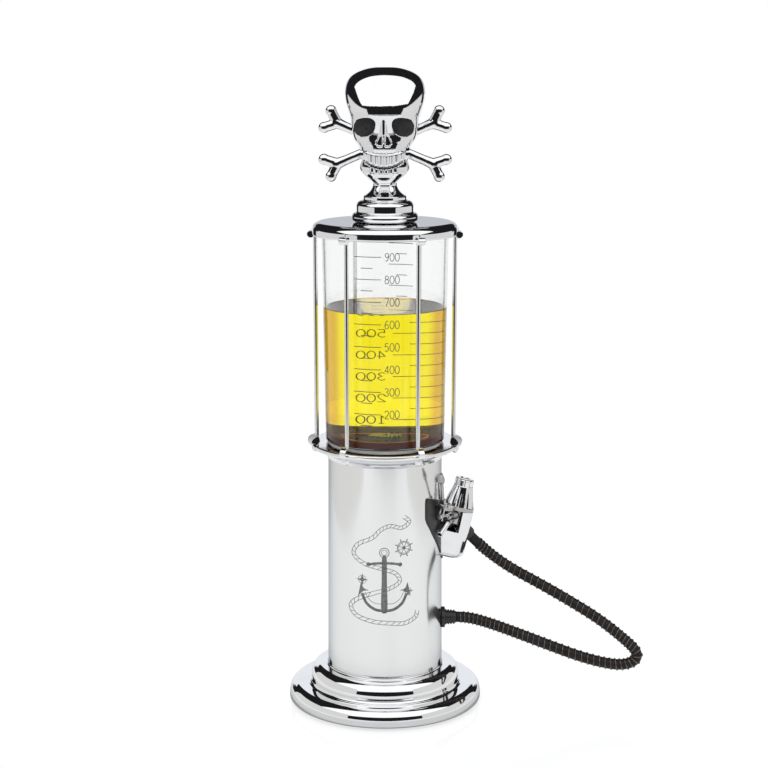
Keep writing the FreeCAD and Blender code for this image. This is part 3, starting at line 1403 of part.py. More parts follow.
def make_grip():
    """The fluted cone that the palm holds, and its notched cap."""
    foot, top, height, wall = size.grip_foot_radius, size.grip_top_radius, size.grip_height, size.grip_wall
    body = new_body("tap_grip")
    turn_profile(body, "grip_turn", [
        (5.0 + size.snug_gap, 0), (foot - 0.4, 0), (foot, 0.6), (top, height - 1.0, QUARTER),
        (top - 1.0, height), (3.0 + size.snug_gap, height), (3.0 + size.snug_gap, height - wall),
        (top - wall, height - wall), (foot - wall, 9.0), (5.0 + size.snug_gap, 9.0)])
    doc.recompute()
    low = new_sketch(body, "flute_foot")
    draw_circle(low, foot + size.flute_radius * 0.45, 0, size.flute_radius)
    high = new_sketch(body, "flute_head", "XY_Plane", height + 0.5)
    draw_circle(high, top + size.flute_radius * 0.62, 0, size.flute_radius * 0.7)
    flute = body.newObject("PartDesign::SubtractiveLoft", "flute")
    flute.Profile = low
    flute.Sections = [high]
    body.Tip = flute
    doc.recompute()
    around(body, "flutes", [flute], int(float(size.flute_count)))
    body.Placement = tap_way

    lid = new_body("grip_cap")
    cap_height = size.grip_cap_height
    turn_profile(lid, "lid_turn", [
        (0, height - 4.0), (3.0, height - 4.0), (3.0, height), (size.grip_cap_radius, height),
        (size.grip_cap_radius, height + cap_height - 1.4, QUARTER),
        (size.grip_cap_radius - 1.4, height + cap_height), (3.6, height + cap_height),
        (3.0, height + cap_height - 0.6), (0, height + cap_height - 0.6)])
    doc.recompute()
    notch = pocket(lid, "notch", lambda s: draw_circle(s, size.grip_cap_radius + 0.2, 0, size.notch_radius),
                   height, cap_height)
    around(lid, "notches", [notch], int(float(size.flute_count)))
    lid.Placement = tap_way


def make_lever():
    """The squeeze lever: pivot boss, fork on the plunger, round stalk, drop-shaped knob and pin."""
    pivot = Vector(0, -float(size.pivot_reach), float(size.pivot_lift))
    lean = float(size.lever_lean) * DEGREE
    direction = Vector(0, -math.sin(lean), math.cos(lean))
    inner = float(size.pivot_lug_width / 2 + size.lever_side_gap)
    cheek = float(size.lever_cheek)
    outer = inner + cheek
    depth = float(size.lever_arm_depth)
    foot = pivot.z - float(size.lever_arm_drop)
    rise = float(size.lever_bridge_lift)
    parts = []
    for low in (-outer, inner):
        parts.append(Part.makeCylinder(float(size.lever_boss_radius), cheek, Vector(low, pivot.y, pivot.z), ACROSS))
        parts.append(Part.makeBox(cheek, depth, pivot.z - foot, Vector(low, pivot.y - depth / 2, foot)))
        post = Part.makeBox(cheek, depth + 0.8, rise + 0.5, Vector(low, -depth / 2 - 0.4, 0))
        post.Placement = Placement(pivot, Rotation(UP, direction))
        parts.append(post)
    bridge = Part.makeBox(outer * 2, depth + 0.8, float(size.lever_bridge_height),
                          Vector(-outer, -depth / 2 - 0.4, rise))
    bridge.Placement = Placement(pivot, Rotation(UP, direction))
    stalk = Part.makeCylinder(float(size.lever_radius), float(size.lever_length) - rise, pivot + direction * rise,
                              direction)
    pin_hole = Part.makeCylinder(float(size.lever_pin_radius) + float(size.snug_gap), 20.0,
                                 pivot - Vector(10, 0, 0), ACROSS)
    lever = parts[0].fuse(parts[1:] + [bridge, stalk]).cut(pin_hole)
    shaped("lever", lever, tap_way)

    knob_start = pivot + direction * (float(size.lever_length) - 2.0)
    radius, length = float(size.knob_radius), float(size.knob_length)
    outline = Part.BSplineCurve()
    outline.interpolate([Vector(0, 0, 0), Vector(radius * 0.72, 0, length * 0.08),
                         Vector(radius, 0, length * 0.30), Vector(radius * 0.72, 0, length * 0.66),
                         Vector(radius * 0.5, 0, length * 0.86), Vector(0, 0, length)])
    closing = Part.LineSegment(Vector(0, 0, length), Vector(0, 0, 0))
    knob = Part.Face(Part.Wire([outline.toShape(), closing.toShape()])).revolve(Vector(), UP, 360)
    knob = knob.cut(Part.makeCylinder(float(size.lever_radius + size.snug_gap), 2.0))
    shaped("lever_knob", knob, tap_way.multiply(Placement(knob_start, Rotation(UP, direction))))

    half = outer
    head = float(size.lever_pin_head)
    pin = Part.makeCylinder(float(size.lever_pin_radius), half * 2, pivot - Vector(half, 0, 0), ACROSS)
    heads = [Part.makeCylinder(1.6, head, pivot + Vector(side, 0, 0), ACROSS) for side in (half, -half - head)]
    shaped("lever_pin", pin.fuse(heads), tap_way)


# ---------------------------------------------------------------- hose
HOSE_POINTS = [
    (61.0, 0.0, 58.8),
    (78.0, -0.4, 54.2),
    (100.5, -3.2, 46.8),
    (123.0, -6.6, 39.2),
    (145.5, -9.4, 31.8),
    (166.5, -11.8, 27.4),
    (178.5, -12.8, 27.9),
    (185.3, -13.2, 32.4),
    (184.8, -12.8, 38.0),
    (176.0, -11.2, 46.0),
    (158.0, -6.8, 59.4),
    (136.0, 0.4, 71.2),
    (114.5, 7.4, 81.8),
    (94.0, 12.6, 91.4),
    (78.5, 14.8, 101.6),
    (67.6, 11.0, 112.2),
]


def rounded_path(points):
    """Straight runs joined by tangent arcs, each as large as its shorter run allows."""
    edges = []
    radii = []
    length = 0.0
    start = points[0]
    for before, corner, after in zip(points, points[1:], points[2:]):
        incoming = (corner - before)
        outgoing = (after - corner)
        turn = incoming.getAngle(outgoing)
        trim = 0.45 * min(incoming.Length, outgoing.Length)
        radius = trim / math.tan(turn / 2)
        into = corner - incoming.normalize() * trim
        out = corner + outgoing.normalize() * trim
        bisector = (into + out) * 0.5 - corner
        centre_distance = radius / math.cos(turn / 2)
        crest = corner + bisector.normalize() * (centre_distance - radius)
        edges.append(Part.LineSegment(start, into).toShape())
        edges.append(Part.Arc(into, crest, out).toShape())
        length += (into - start).Length + radius * turn
        radii.append(radius)
        start = out
    edges.append(Part.LineSegment(start, points[-1]).toShape())
    length += (points[-1] - start).Length
    return Part.Wire(edges), radii, length


def make_hose(exit_reach):
    """The hose from the wall fitting round to the tap, one plain tube."""
    level = float(size.outlet_level)
    first = Vector(exit_reach, 0, level)
    last = hose_boss_root + hose_boss_way * (float(size.hose_boss_length) + 0.15)
    points = [first] + [Vector(*point) for point in HOSE_POINTS] + [last]
    path, radii, length = rounded_path(points)
    radius = float(size.hose_radius)
    ring = Part.Wire(Part.makeCircle(radius, points[0], points[1] - points[0]))
    tube = path.makePipeShell([ring], True, True)
    shaped("hose", tube)
    print("hose length", round(length, 1), "radii", [round(value, 1) for value in radii])
    print("hose volume over section times length", round(tube.Volume / (math.pi * radius ** 2 * length), 4))
    print("hose end", last, "end direction", hose_boss_way)


make_base()
make_column()
make_collar()
make_tank()
make_cage()
make_cap()
make_pedestal()
make_bones()
make_skull()
hose_exit = make_outlet()
make_holster()
make_tap_body()
make_valve()
make_grip()
make_lever()
make_hose(hose_exit)

# ---------------------------------------------------------------- check and write
doc.recompute()
for item in doc.Objects:
    if "Invalid" in item.State or "Error" in item.State:
        raise RuntimeError(f"{item.Name} did not compute: {item.State}")
os.makedirs("parts", exist_ok=True)
for item in sub_parts:
    shape = item.Shape
    if shape.isNull() or not shape.isValid() or not shape.Solids:
        raise RuntimeError(f"{item.Label} has no valid solid")
    shape.exportStep(f"parts/{item.Label}.step")
print("wrote", len(sub_parts), "pieces")
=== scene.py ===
"""Dressed model of a party shot dispenser: a tank on a column, a skull stopper and a hose with a lever tap.

Lengths in the size classes are in millimetres; meshes are in metres, in the row's own frame.
"""
import logging
import math
from dataclasses import dataclass, field
from enum import Enum
from typing import Callable, Iterable, Optional, Sequence

import bmesh
import bpy
import numpy as np
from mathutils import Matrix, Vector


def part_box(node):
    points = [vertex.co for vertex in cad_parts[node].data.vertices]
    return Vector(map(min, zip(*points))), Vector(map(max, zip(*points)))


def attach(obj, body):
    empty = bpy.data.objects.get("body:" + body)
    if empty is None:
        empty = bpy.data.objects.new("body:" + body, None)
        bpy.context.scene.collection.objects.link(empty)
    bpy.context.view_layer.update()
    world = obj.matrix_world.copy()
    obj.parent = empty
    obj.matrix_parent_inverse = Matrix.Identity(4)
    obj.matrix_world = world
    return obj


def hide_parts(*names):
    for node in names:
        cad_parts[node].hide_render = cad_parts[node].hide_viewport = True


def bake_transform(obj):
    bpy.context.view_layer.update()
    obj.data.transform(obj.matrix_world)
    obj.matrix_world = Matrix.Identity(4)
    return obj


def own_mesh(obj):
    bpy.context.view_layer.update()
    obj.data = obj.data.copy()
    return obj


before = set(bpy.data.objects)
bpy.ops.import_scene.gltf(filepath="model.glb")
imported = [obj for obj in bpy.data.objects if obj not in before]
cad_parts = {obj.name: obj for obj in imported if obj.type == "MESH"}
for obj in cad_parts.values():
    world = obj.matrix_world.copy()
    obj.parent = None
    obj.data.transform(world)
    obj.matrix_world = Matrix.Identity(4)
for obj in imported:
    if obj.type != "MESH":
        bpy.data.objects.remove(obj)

LOG = logging.getLogger("shot_dispenser")
MM = 0.001
QUARTER = 0.2071  # bow of a quarter circle: rise over chord
SOFT = 0.12  # bow of a shallow crown
ARC_STEP = 6.0  # largest turn in degrees between two points of an arc
STRAIGHT = -0.93  # cosine between a corner's two sides under which it counts as straight
LONG_RUN = 1.2  # a straight run over this length gets one more point close to each end
RUN_END = 0.12  # distance of that point from the corner's round
STROKE_STEP = 1.0  # largest distance between two points of a printed stroke
SUNK = 0.1  # share of a print's lift at which its underside lies
ROUND_POINTS = 5  # points on the round of a sharp corner
ROUND_SHARE = 0.4  # largest share of a side that a corner's round takes
FINE = 256  # steps round a large turned piece
MERGE = 1e-7  # metres under which points of a new mesh are joined
SLIVER = 1e-8  # metres under which an edge of a new mesh is taken out
FACET_MERGE = 2e-6  # metres under which a CAD node's loose triangles are joined
FLAT_WEIGHT = 80  # how far large faces lead the shading, in percent
SHARP_EDGE = 34.0  # degrees over which an edge stays sharp

Colour = tuple[float, float, float]
Corner = tuple[float, ...]


class Body(str, Enum):
    """The moving groups of the dispenser."""

    FRAME = "frame"
    STOPPER = "stopper"
    TAP = "tap"
    LEVER = "lever"
    PLUNGER = "plunger"


# ---------------------------------------------------------------- surfaces
@dataclass
class Shape:
    """A mesh as whole arrays: points in millimetres, and quads of point numbers."""

    points: np.ndarray
    quads: np.ndarray

    def plus(self, *others: "Shape") -> "Shape":
        """Returns this shape and the others as one.

        Args:
            others: shapes to add.

        Returns:
            One shape that holds them all, side by side.
        """
        shapes = (self, *others)
        starts = np.cumsum([0] + [len(shape.points) for shape in shapes[:-1]])
        return Shape(np.vstack([shape.points for shape in shapes]),
                     np.vstack([shape.quads + start for shape, start in zip(shapes, starts)]))

    def moved(self, turn: np.ndarray, shift: Sequence[float]) -> "Shape":
        """Returns the shape turned by a 3 by 3 matrix and then shifted."""
        return Shape(self.points @ np.asarray(turn).T + np.asarray(shift, dtype=float), self.quads)


def grid_shape(grid: np.ndarray, wrap_rows: bool = False, wrap_columns: bool = False) -> Shape:
    """Quads over a grid of points.

    Formula: point (i, j) joins (i + 1, j), (i + 1, j + 1) and (i, j + 1), and the last row or
    column joins the first where it wraps.

    Args:
        grid: array of rows by columns by 3.
        wrap_rows: the last row joins the first.
        wrap_columns: the last column joins the first.

    Returns:
        The shape.
    """
    rows, columns = grid.shape[:2]
    number = np.arange(rows * columns).reshape(rows, columns)
    if wrap_rows:
        number = np.vstack([number, number[:1]])
    if wrap_columns:
        number = np.hstack([number, number[:, :1]])
    quads = np.stack([number[:-1, :-1], number[1:, :-1], number[1:, 1:], number[:-1, 1:]], axis=-1)
    return Shape(grid.reshape(-1, 3), quads.reshape(-1, 4))


def arc_points(start: np.ndarray, finish: np.ndarray, bow: float) -> np.ndarray:
    """Points on an arc between two points of a profile.

    Formula: half the arc's angle is 2 atan(2 bow); a point lies at the centre plus the radius
    times (outward cos t + forward sin t). A positive bow bulges to the right of travel.

    Args:
        start: first point.
        finish: last point.
        bow: rise of the arc over its chord.

    Returns:
        The points, ends included.
    """
    chord = finish - start
    length = float(np.hypot(*chord))
    forward = chord / length
    outward = np.array([forward[1], -forward[0]]) * math.copysign(1.0, bow)
    half = 2.0 * math.atan(2.0 * abs(bow))
    radius = length / (2.0 * math.sin(half))
    centre = (start + finish) / 2 - outward * radius * math.cos(half)
    count = max(5, int(math.ceil(half * 2 / math.radians(ARC_STEP))) + 1)
    turn = np.linspace(-half, half, count)[:, None]
    return centre + radius * (outward * np.cos(turn) + forward * np.sin(turn))


@dataclass(frozen=True)
class Profile:
    """A turned piece's closed outline: corners (radius, height) or (radius, height, bow)."""

    corners: tuple[Corner, ...]
    ease: float = 0.22  # size of the tiny round on each sharp corner

    def trace(self) -> np.ndarray:
        """Walks round the outline.

        Formula: each sharp corner becomes a parabola from a point before it to a point after
        it, and a straight run gets one more point close to each of its ends, so that the shading
        of the round doesn't reach along the run.

        Returns:
            The points in order, without the first one repeated.
        """
        runs = []
        count = len(self.corners)
        for place, corner in enumerate(self.corners):
            after = self.corners[(place + 1) % count]
            start, finish = np.array(corner[:2], float), np.array(after[:2], float)
            bow = corner[2] if len(corner) > 2 else 0.0
            runs.append(arc_points(start, finish, bow) if bow else np.array([start, finish]))
        walked: list[np.ndarray] = []
        for place, run in enumerate(runs):
            before = runs[place - 1]
            corner = run[0]
            back = before[-2] - corner
            ahead = run[1] - corner
            back_length, ahead_length = np.hypot(*back), np.hypot(*ahead)
            back, ahead = back / back_length, ahead / ahead_length
            sharp = float(np.dot(back, ahead)) > STRAIGHT
            on_axis = corner[0] < 1e-6
            if sharp and not on_axis:
                reach = min(self.ease, ROUND_SHARE * back_length, ROUND_SHARE * ahead_length)
                share = np.linspace(0, 1, ROUND_POINTS)[:, None]
                enter, leave = corner + back * reach, corner + ahead * reach
                walked += list((1 - share) ** 2 * enter + 2 * share * (1 - share) * corner
                               + share ** 2 * leave)
            else:
                reach = 0.0
                walked.append(corner)
            if len(run) == 2 and ahead_length > LONG_RUN:
                walked.append(corner + ahead * (reach + RUN_END))
                walked.append(run[1] - ahead * (self.ease + RUN_END))
            else:
                walked += list(run[1:-1])
        return np.array(walked)


def turned(profile: Profile, steps: int = 192) -> Shape:
    """A turned shell.

    Formula: point (i, j) is (r_j cos a_i, r_j sin a_i, z_j) for equal steps of the angle a.

    Args:
        profile: the closed outline.
        steps: steps round the axis.

    Returns:
        The shape about the Z axis.
    """
    outline = profile.trace()
    angle = np.linspace(0, 2 * math.pi, steps, endpoint=False)[:, None]
    radius, height = outline[:, 0][None, :], outline[:, 1][None, :]
    grid = np.stack([radius * np.cos(angle), radius * np.sin(angle), height + 0 * angle], axis=-1)
    return grid_shape(grid, wrap_rows=True, wrap_columns=True)


def frame_to(direction: Sequence[float]) -> np.ndarray:
    """A 3 by 3 turn that takes +Z to a direction.

    Args:
        direction: where +Z goes.

    Returns:
        The turn.
    """
    ahead = np.asarray(direction, float)
    ahead = ahead / np.linalg.norm(ahead)
    helper = np.array([0.0, 0.0, 1.0]) if abs(ahead[2]) < 0.9 else np.array([1.0, 0.0, 0.0])
    side = np.cross(helper, ahead)
    side /= np.linalg.norm(side)
    return np.stack([side, np.cross(ahead, side), ahead], axis=1)


def swept(path: np.ndarray, spokes: np.ndarray, radius: float, sides: int = 8) -> Shape:
    """A round wire along a path.

    Formula: each ring lies square to the path; its first spoke is the given one with its part
    along the path taken out, its second is square to both, and a ring's point is the path's point
    plus the radius times (first cos a + second sin a). The ends shrink to a point.

    Args:
        path: points along the wire's middle.
        spokes: one direction for each point, not along the path.
        radius: the wire's radius.
        sides: points in one ring.

    Returns:
        The shape.
    """
    ahead = unit(np.gradient(path, axis=0))
    first = unit(spokes - ahead * np.sum(spokes * ahead, axis=1)[:, None])
    second = np.cross(ahead, first)
    angle = np.linspace(0, 2 * math.pi, sides, endpoint=False)
    ring = (first[:, None, :] * np.cos(angle)[None, :, None]
            + second[:, None, :] * np.sin(angle)[None, :, None])
    grid = path[:, None, :] + radius * ring
    ends = np.repeat(path[[0, -1]][:, None, :], sides, axis=1)
    return grid_shape(np.concatenate([ends[:1], grid, ends[1:]]), wrap_columns=True)


def even_line(points: np.ndarray, count: int) -> np.ndarray:
    """Evenly spaced points on a line through points, by straight interpolation.

    Args:
        points: the line's points, in order.
        count: how many points to give.

    Returns:
        The points, one a row.
    """
    run = lengths(points)
    keep = np.concatenate([[True], np.diff(run) > 1e-6])
    even = np.linspace(0, run[-1], count)
    return np.stack([np.interp(even, run[keep], points[keep, axis]) for axis in range(3)], axis=1)


def lengths(points: np.ndarray) -> np.ndarray:
    """Returns the length from a line's start to each of its points."""
    return np.concatenate([[0.0], np.cumsum(np.linalg.norm(np.diff(points, axis=0), axis=1))])


def unit(vectors: np.ndarray) -> np.ndarray:
    """Returns vectors, one a row, at length 1."""
    return vectors / np.linalg.norm(vectors, axis=1)[:, None]


def round_stub(centre: Sequence[float], direction: Sequence[float], radius: float,
               width: float) -> Shape:
    """A short round bar with eased edges, centred at a point and lying along a direction.

    Args:
        centre: the bar's middle.
        direction: along the bar.
        radius: its radius.
        width: its length.

    Returns:
        The bar.
    """
    half = width / 2
    bar = turned(Profile(((0, -half), (radius, -half), (radius, half), (0, half)), ease=0.4), 48)
    return bar.moved(frame_to(direction), centre)


def spun(x: float, y: float, degrees: float) -> np.ndarray:
    """Returns the point (x, y, 0) turned about Z."""
    turn = math.radians(degrees)
    return np.array([x * math.cos(turn) - y * math.sin(turn), x * math.sin(turn) + y * math.cos(turn), 0.0])


def drum_stroke(path: np.ndarray, width: float, radius_at: Callable[[np.ndarray], np.ndarray],
                lift: float, turn: float = 0.0) -> Shape:
    """A printed stroke on a drum.

    Formula: the stroke's two edges lie half its width to each side of its path in the front
    view (x, z). A point of it is (x, -sqrt(r^2 - x^2), z) for the drum's radius r at z plus the
    lift, on the outer side, and a small share of the lift, on the inner side.

    Args:
        path: points (x, z) in the front view, in millimetres.
        width: the stroke's width.
        radius_at: the drum's radius for heights.
        lift: height of the stroke over the drum.
        turn: degrees about Z from the front.

    Returns:
        The closed shape.
    """
    path = dense(path, STROKE_STEP)
    ahead = unit(np.gradient(path, axis=0))
    across = np.stack([-ahead[:, 1], ahead[:, 0]], axis=1) * width / 2
    flat = np.stack([path + across, path - across, path - across, path + across], axis=1)
    over = np.array([lift, lift, lift * SUNK, lift * SUNK])[None, :]
    shape = grid_shape(on_drum(flat, radius_at, over), wrap_columns=True)
    last = (len(path) - 1) * 4
    caps = np.array([[0, 1, 2, 3], [last + 3, last + 2, last + 1, last]])
    return Shape(shape.points, np.vstack([shape.quads, caps])).moved(turn_about_z(turn), (0, 0, 0))


def drum_patch(outline: np.ndarray, radius_at: Callable[[np.ndarray], np.ndarray], lift: float) -> Shape:
    """A printed filled patch on a drum.

    Formula: rings run from the outline's middle out to the outline, each a share of the way, and
    one more ring drops to the drum; every point goes onto the drum as a stroke's does.

    Args:
        outline: points (x, z) of a star-shaped outline.
        radius_at: the drum's radius for heights.
        lift: height of the patch over the drum.

    Returns:
        The closed shape.
    """
    middle = outline.mean(axis=0)
    share = np.array([0.0, 0.25, 0.5, 0.75, 1.0, 1.0, 0.5, 0.0])[:, None, None]
    flat = middle + share * (outline - middle)[None, :, :]
    over = np.array([1, 1, 1, 1, 1, SUNK, SUNK, SUNK])[:, None] * lift
    return grid_shape(on_drum(flat, radius_at, over), wrap_columns=True)


def on_drum(flat: np.ndarray, radius_at: Callable[[np.ndarray], np.ndarray],
            over: np.ndarray) -> np.ndarray:
    """Front-view points (x, z) laid on a drum, with their height over it.

    Args:
        flat: points (x, z) in the front view.
        radius_at: the drum's radius for heights.
        over: height over the drum.

    Returns:
        Points (x, y, z).
    """
    across, height = flat[..., 0], flat[..., 1]
    radius = radius_at(height) + over
    return np.stack([across, -np.sqrt(np.maximum(radius ** 2 - across ** 2, 0.0)), height], axis=-1)


def turn_about_z(degrees: float) -> np.ndarray:
    """Returns the 3 by 3 turn about Z."""
    turn = math.radians(degrees)
    return np.array([[math.cos(turn), -math.sin(turn), 0], [math.sin(turn), math.cos(turn), 0], [0, 0, 1.0]])


def dense(path: np.ndarray, step: float) -> np.ndarray:
    """A path with points no further apart than a step, by straight interpolation.

    Args:
        path: the points.
        step: largest distance between two points.

    Returns:
        The denser path.
    """
    path = np.asarray(path, float)
    run = lengths(path)
    count = max(len(path), int(run[-1] / step) + 2)
    place = np.unique(np.concatenate([run, np.linspace(0, run[-1], count)]))
    place = place[np.concatenate([[True], np.diff(place) > 1e-4])]
    return np.stack([np.interp(place, run, path[:, axis]) for axis in range(path.shape[1])], axis=1)


def flowing(path: Sequence[Sequence[float]], parts: int = 10, closed: bool = False) -> np.ndarray:
    """A smooth line through points.

    Formula: between two points it is the Catmull-Rom cubic of them and their outer neighbours.

    Args:
        path: the points.
        parts: steps between two points.
        closed: the line comes back to its start.

    Returns:
        Points along the line.
    """
    known = np.asarray(path, float)
    if closed:
        known = np.vstack([known[-1], known, known[0], known[1]])
    else:
        known = np.vstack([2 * known[0] - known[1], known, 2 * known[-1] - known[-2]])
    share = np.linspace(0, 1, parts, endpoint=False)[None, :, None]
    before, start, finish, after = (known[i:len(known) - 3 + i][:, None, :] for i in range(4))
    line = 0.5 * (2 * start + (finish - before) * share
                  + (2 * before - 5 * start + 4 * finish - after) * share ** 2
                  + (3 * start - before - 3 * finish + after) * share ** 3).reshape(-1, known.shape[1])
    return line if closed else np.vstack([line, known[-2]])


def ring_line(x: float, z: float, wide: float, high: float, start: float = 0.0,
              finish: float = 360.0) -> np.ndarray:
    """Returns points of an ellipse's arc about (x, z), angles in degrees from +x."""
    angle = np.radians(np.linspace(start, finish, max(8, int(abs(finish - start) / 12))))
    return np.stack([x + wide * np.cos(angle), z + high * np.sin(angle)], axis=1)


# ---------------------------------------------------------------- node graphs
class Graph:
    """A node tree with short calls."""

    def __init__(self, tree: bpy.types.NodeTree) -> None:
        """Empties the tree and keeps it."""
        self.tree = tree
        tree.nodes.clear()

    def add(self, kind: str, **settings: object) -> bpy.types.Node:
        """Adds a node.

        Args:
            kind: the node's type.
            settings: attributes to set on it.

        Returns:
            The node.
        """
        node = self.tree.nodes.new(kind)
        for name, value in settings.items():
            setattr(node, name, value)
        return node

    def link(self, source: bpy.types.NodeSocket, target: bpy.types.NodeSocket) -> None:
        """Joins two sockets."""
        self.tree.links.new(source, target)

    def math(self, operation: str, first: object, second: object = None,
             third: object = None) -> bpy.types.NodeSocket:
        """Adds a Math node.

        Args:
            operation: its operation.
            first: a socket or a number.
            second: a socket, a number or nothing.
            third: a socket, a number or nothing.

        Returns:
            Its result.
        """
        node = self.add("ShaderNodeMath", operation=operation)
        for socket, value in zip(node.inputs, (first, second, third)):
            if isinstance(value, bpy.types.NodeSocket):
                self.link(value, socket)
            elif value is not None:
                socket.default_value = value
        return node.outputs[0]

    def total(self, first: bpy.types.NodeSocket, *others: bpy.types.NodeSocket) -> bpy.types.NodeSocket:
        """The sum of values.

        Args:
            first: a value.
            others: more values.

        Returns:
            The sum.
        """
        for other in others:
            first = self.math("ADD", first, other)
        return first

    def product(self, first: bpy.types.NodeSocket, *others: object) -> bpy.types.NodeSocket:
        """The product of values.

        Args:
            first: a value.
            others: more values or numbers.

        Returns:
            The product.
        """
        for other in others:
            first = self.math("MULTIPLY", first, other)
        return first

    def place(self, kind: str = "Object") -> tuple[bpy.types.NodeSocket, ...]:
        """X, Y and Z: the piece's own, in metres, or for a world the direction's.

        Args:
            kind: Object for a piece, Generated for a world.

        Returns:
            X, Y and Z.
        """
        coordinates = self.add("ShaderNodeTexCoord")
        split = self.add("ShaderNodeSeparateXYZ")
        self.link(coordinates.outputs[kind], split.inputs["Vector"])
        return tuple(split.outputs[name] for name in "XYZ")

    def away(self, x: bpy.types.NodeSocket, y: bpy.types.NodeSocket) -> bpy.types.NodeSocket:
        """Returns the distance from the Z axis."""
        return self.math("SQRT", self.total(self.product(x, x), self.product(y, y)))

    def mirrored_only(self, path: bpy.types.Node) -> bpy.types.NodeSocket:
        """Returns 1 for a ray that metal mirrors and 0 for every other one, from a Light Path node."""
        return self.product(path.outputs["Is Glossy Ray"],
                            self.math("SUBTRACT", 1.0, path.outputs["Is Transmission Ray"]))

    def noise(self, scale: float, stretch: Sequence[float] = (1.0, 1.0, 1.0),
              detail: float = 3.0) -> bpy.types.NodeSocket:
        """Adds noise on the piece's own coordinates.

        Args:
            scale: cycles per metre.
            stretch: factor along each axis.
            detail: octaves.

        Returns:
            The noise value.
        """
        place = self.add("ShaderNodeTexCoord")
        mapping = self.add("ShaderNodeMapping")
        mapping.inputs["Scale"].default_value = stretch
        self.link(place.outputs["Object"], mapping.inputs["Vector"])
        noise = self.add("ShaderNodeTexNoise")
        noise.inputs["Scale"].default_value = scale
        noise.inputs["Detail"].default_value = detail
        self.link(mapping.outputs["Vector"], noise.inputs["Vector"])
        return noise.outputs["Fac"]

    def spread(self, value: bpy.types.NodeSocket, low: float, high: float) -> bpy.types.NodeSocket:
        """Maps the middle of a noise value to low..high.

        Args:
            value: the noise value.
            low: result for its low values.
            high: result for its high values.

        Returns:
            The mapped value.
        """
        node = self.add("ShaderNodeMapRange")
        self.link(value, node.inputs["Value"])
        for name, number in (("From Min", 0.3), ("From Max", 0.7), ("To Min", low), ("To Max", high)):
            node.inputs[name].default_value = number
        return node.outputs["Result"]

    def between(self, value: bpy.types.NodeSocket, first: Colour, second: Colour) -> bpy.types.NodeSocket:
        """Blends two colours by a value.

        Args:
            value: 0 for the first colour and 1 for the second.
            first: a colour.
            second: a colour.

        Returns:
            The blended colour.
        """
        node = self.add("ShaderNodeMix", data_type="RGBA")
        self.link(value, node.inputs["Factor"])
        node.inputs["A"].default_value = (*first, 1.0)
        node.inputs["B"].default_value = (*second, 1.0)
        return node.outputs["Result"]

    def ramp(self, value: bpy.types.NodeSocket, low: float, high: float,
             rising: bool = True) -> bpy.types.NodeSocket:
        """A smooth rise from 0 at one value to 1 at another, or a fall where it isn't rising.

        Args:
            value: the value to look at.
            low: where the ramp starts.
            high: where it ends.
            rising: it goes from 0 to 1.

        Returns:
            The ramp's value.
        """
        node = self.add("ShaderNodeMapRange", interpolation_type="SMOOTHSTEP")
        self.link(value, node.inputs["Value"])
        for name, number in (("From Min", low), ("From Max", high), ("To Min", 0.0 if rising else 1.0),
                             ("To Max", 1.0 if rising else 0.0)):
            node.inputs[name].default_value = number
        return node.outputs["Result"]

    def step(self, value: bpy.types.NodeSocket, edge: float, soft: float,
             rising: bool = True) -> bpy.types.NodeSocket:
        """Returns a soft step over an edge, up or down."""
        return self.ramp(value, edge - soft, edge + soft, rising)

    def blend(self, value: bpy.types.NodeSocket, first: bpy.types.NodeSocket,
              second: Colour) -> bpy.types.NodeSocket:
        """A colour between a linked one at 0 and a plain one at 1.

        Args:
            value: 0 for the first colour and 1 for the second.
            first: a linked colour.
            second: a plain colour.

        Returns:
            The blended colour.
        """
        mix = self.add("ShaderNodeMix", data_type="RGBA")
        self.link(value, mix.inputs["Factor"])
        self.link(first, mix.inputs["A"])
        mix.inputs["B"].default_value = (*second, 1.0)
        return mix.outputs["Result"]

    def mix(self, factor: bpy.types.NodeSocket, first: bpy.types.NodeSocket,
            second: bpy.types.NodeSocket) -> bpy.types.NodeSocket:
        """A shader between one at 0 and another at 1.

        Args:
            factor: 0 for the first shader and 1 for the second.
            first: a shader.
            second: a shader.

        Returns:
            The mixed shader.
        """
        node = self.add("ShaderNodeMixShader")
        self.link(factor, node.inputs["Fac"])
        self.link(first, node.inputs[1])
        self.link(second, node.inputs[2])
        return node.outputs["Shader"]

    def diffuse(self, colour: Colour) -> bpy.types.NodeSocket:
        """A matt shader of one colour.

        Args:
            colour: its colour.

        Returns:
            The shader.
        """
        node = self.add("ShaderNodeBsdfDiffuse")
        node.inputs["Color"].default_value = (*colour, 1.0)
        return node.outputs["BSDF"]

    def output(self, shader: bpy.types.NodeSocket, kind: str = "ShaderNodeOutputMaterial") -> None:
        """Ends the tree with a surface shader."""
        self.link(shader, self.add(kind).inputs["Surface"])

    def relief(self, height: bpy.types.NodeSocket, depth_mm: float, strength: float) -> bpy.types.NodeSocket:
        """Adds a Bump node for a height of depth_mm.

        Args:
            height: the relief's height, from 0 to 1.
            depth_mm: millimetres at height 1.
            strength: how strongly it shows.

        Returns:
            The bent normal.
        """
        node = self.add("ShaderNodeBump")
        node.inputs["Distance"].default_value = depth_mm * MM
        node.inputs["Strength"].default_value = strength
        self.link(height, node.inputs["Height"])
        return node.outputs["Normal"]


class Finish:
    """A surface finish; subclasses fill the node graph."""

    name: str

    def material(self) -> bpy.types.Material:
        """The finish's material, made on first use.

        Returns:
            The material.
        """
        known = bpy.data.materials.get(self.name)
        if known is not None:
            return known
        made = bpy.data.materials.new(self.name)
        made.use_nodes = True
        graph = Graph(made.node_tree)
        graph.output(self.build(graph))
        return made

    def build(self, graph: Graph) -> bpy.types.NodeSocket:
        """Fills the graph and returns the shader."""
        raise NotImplementedError


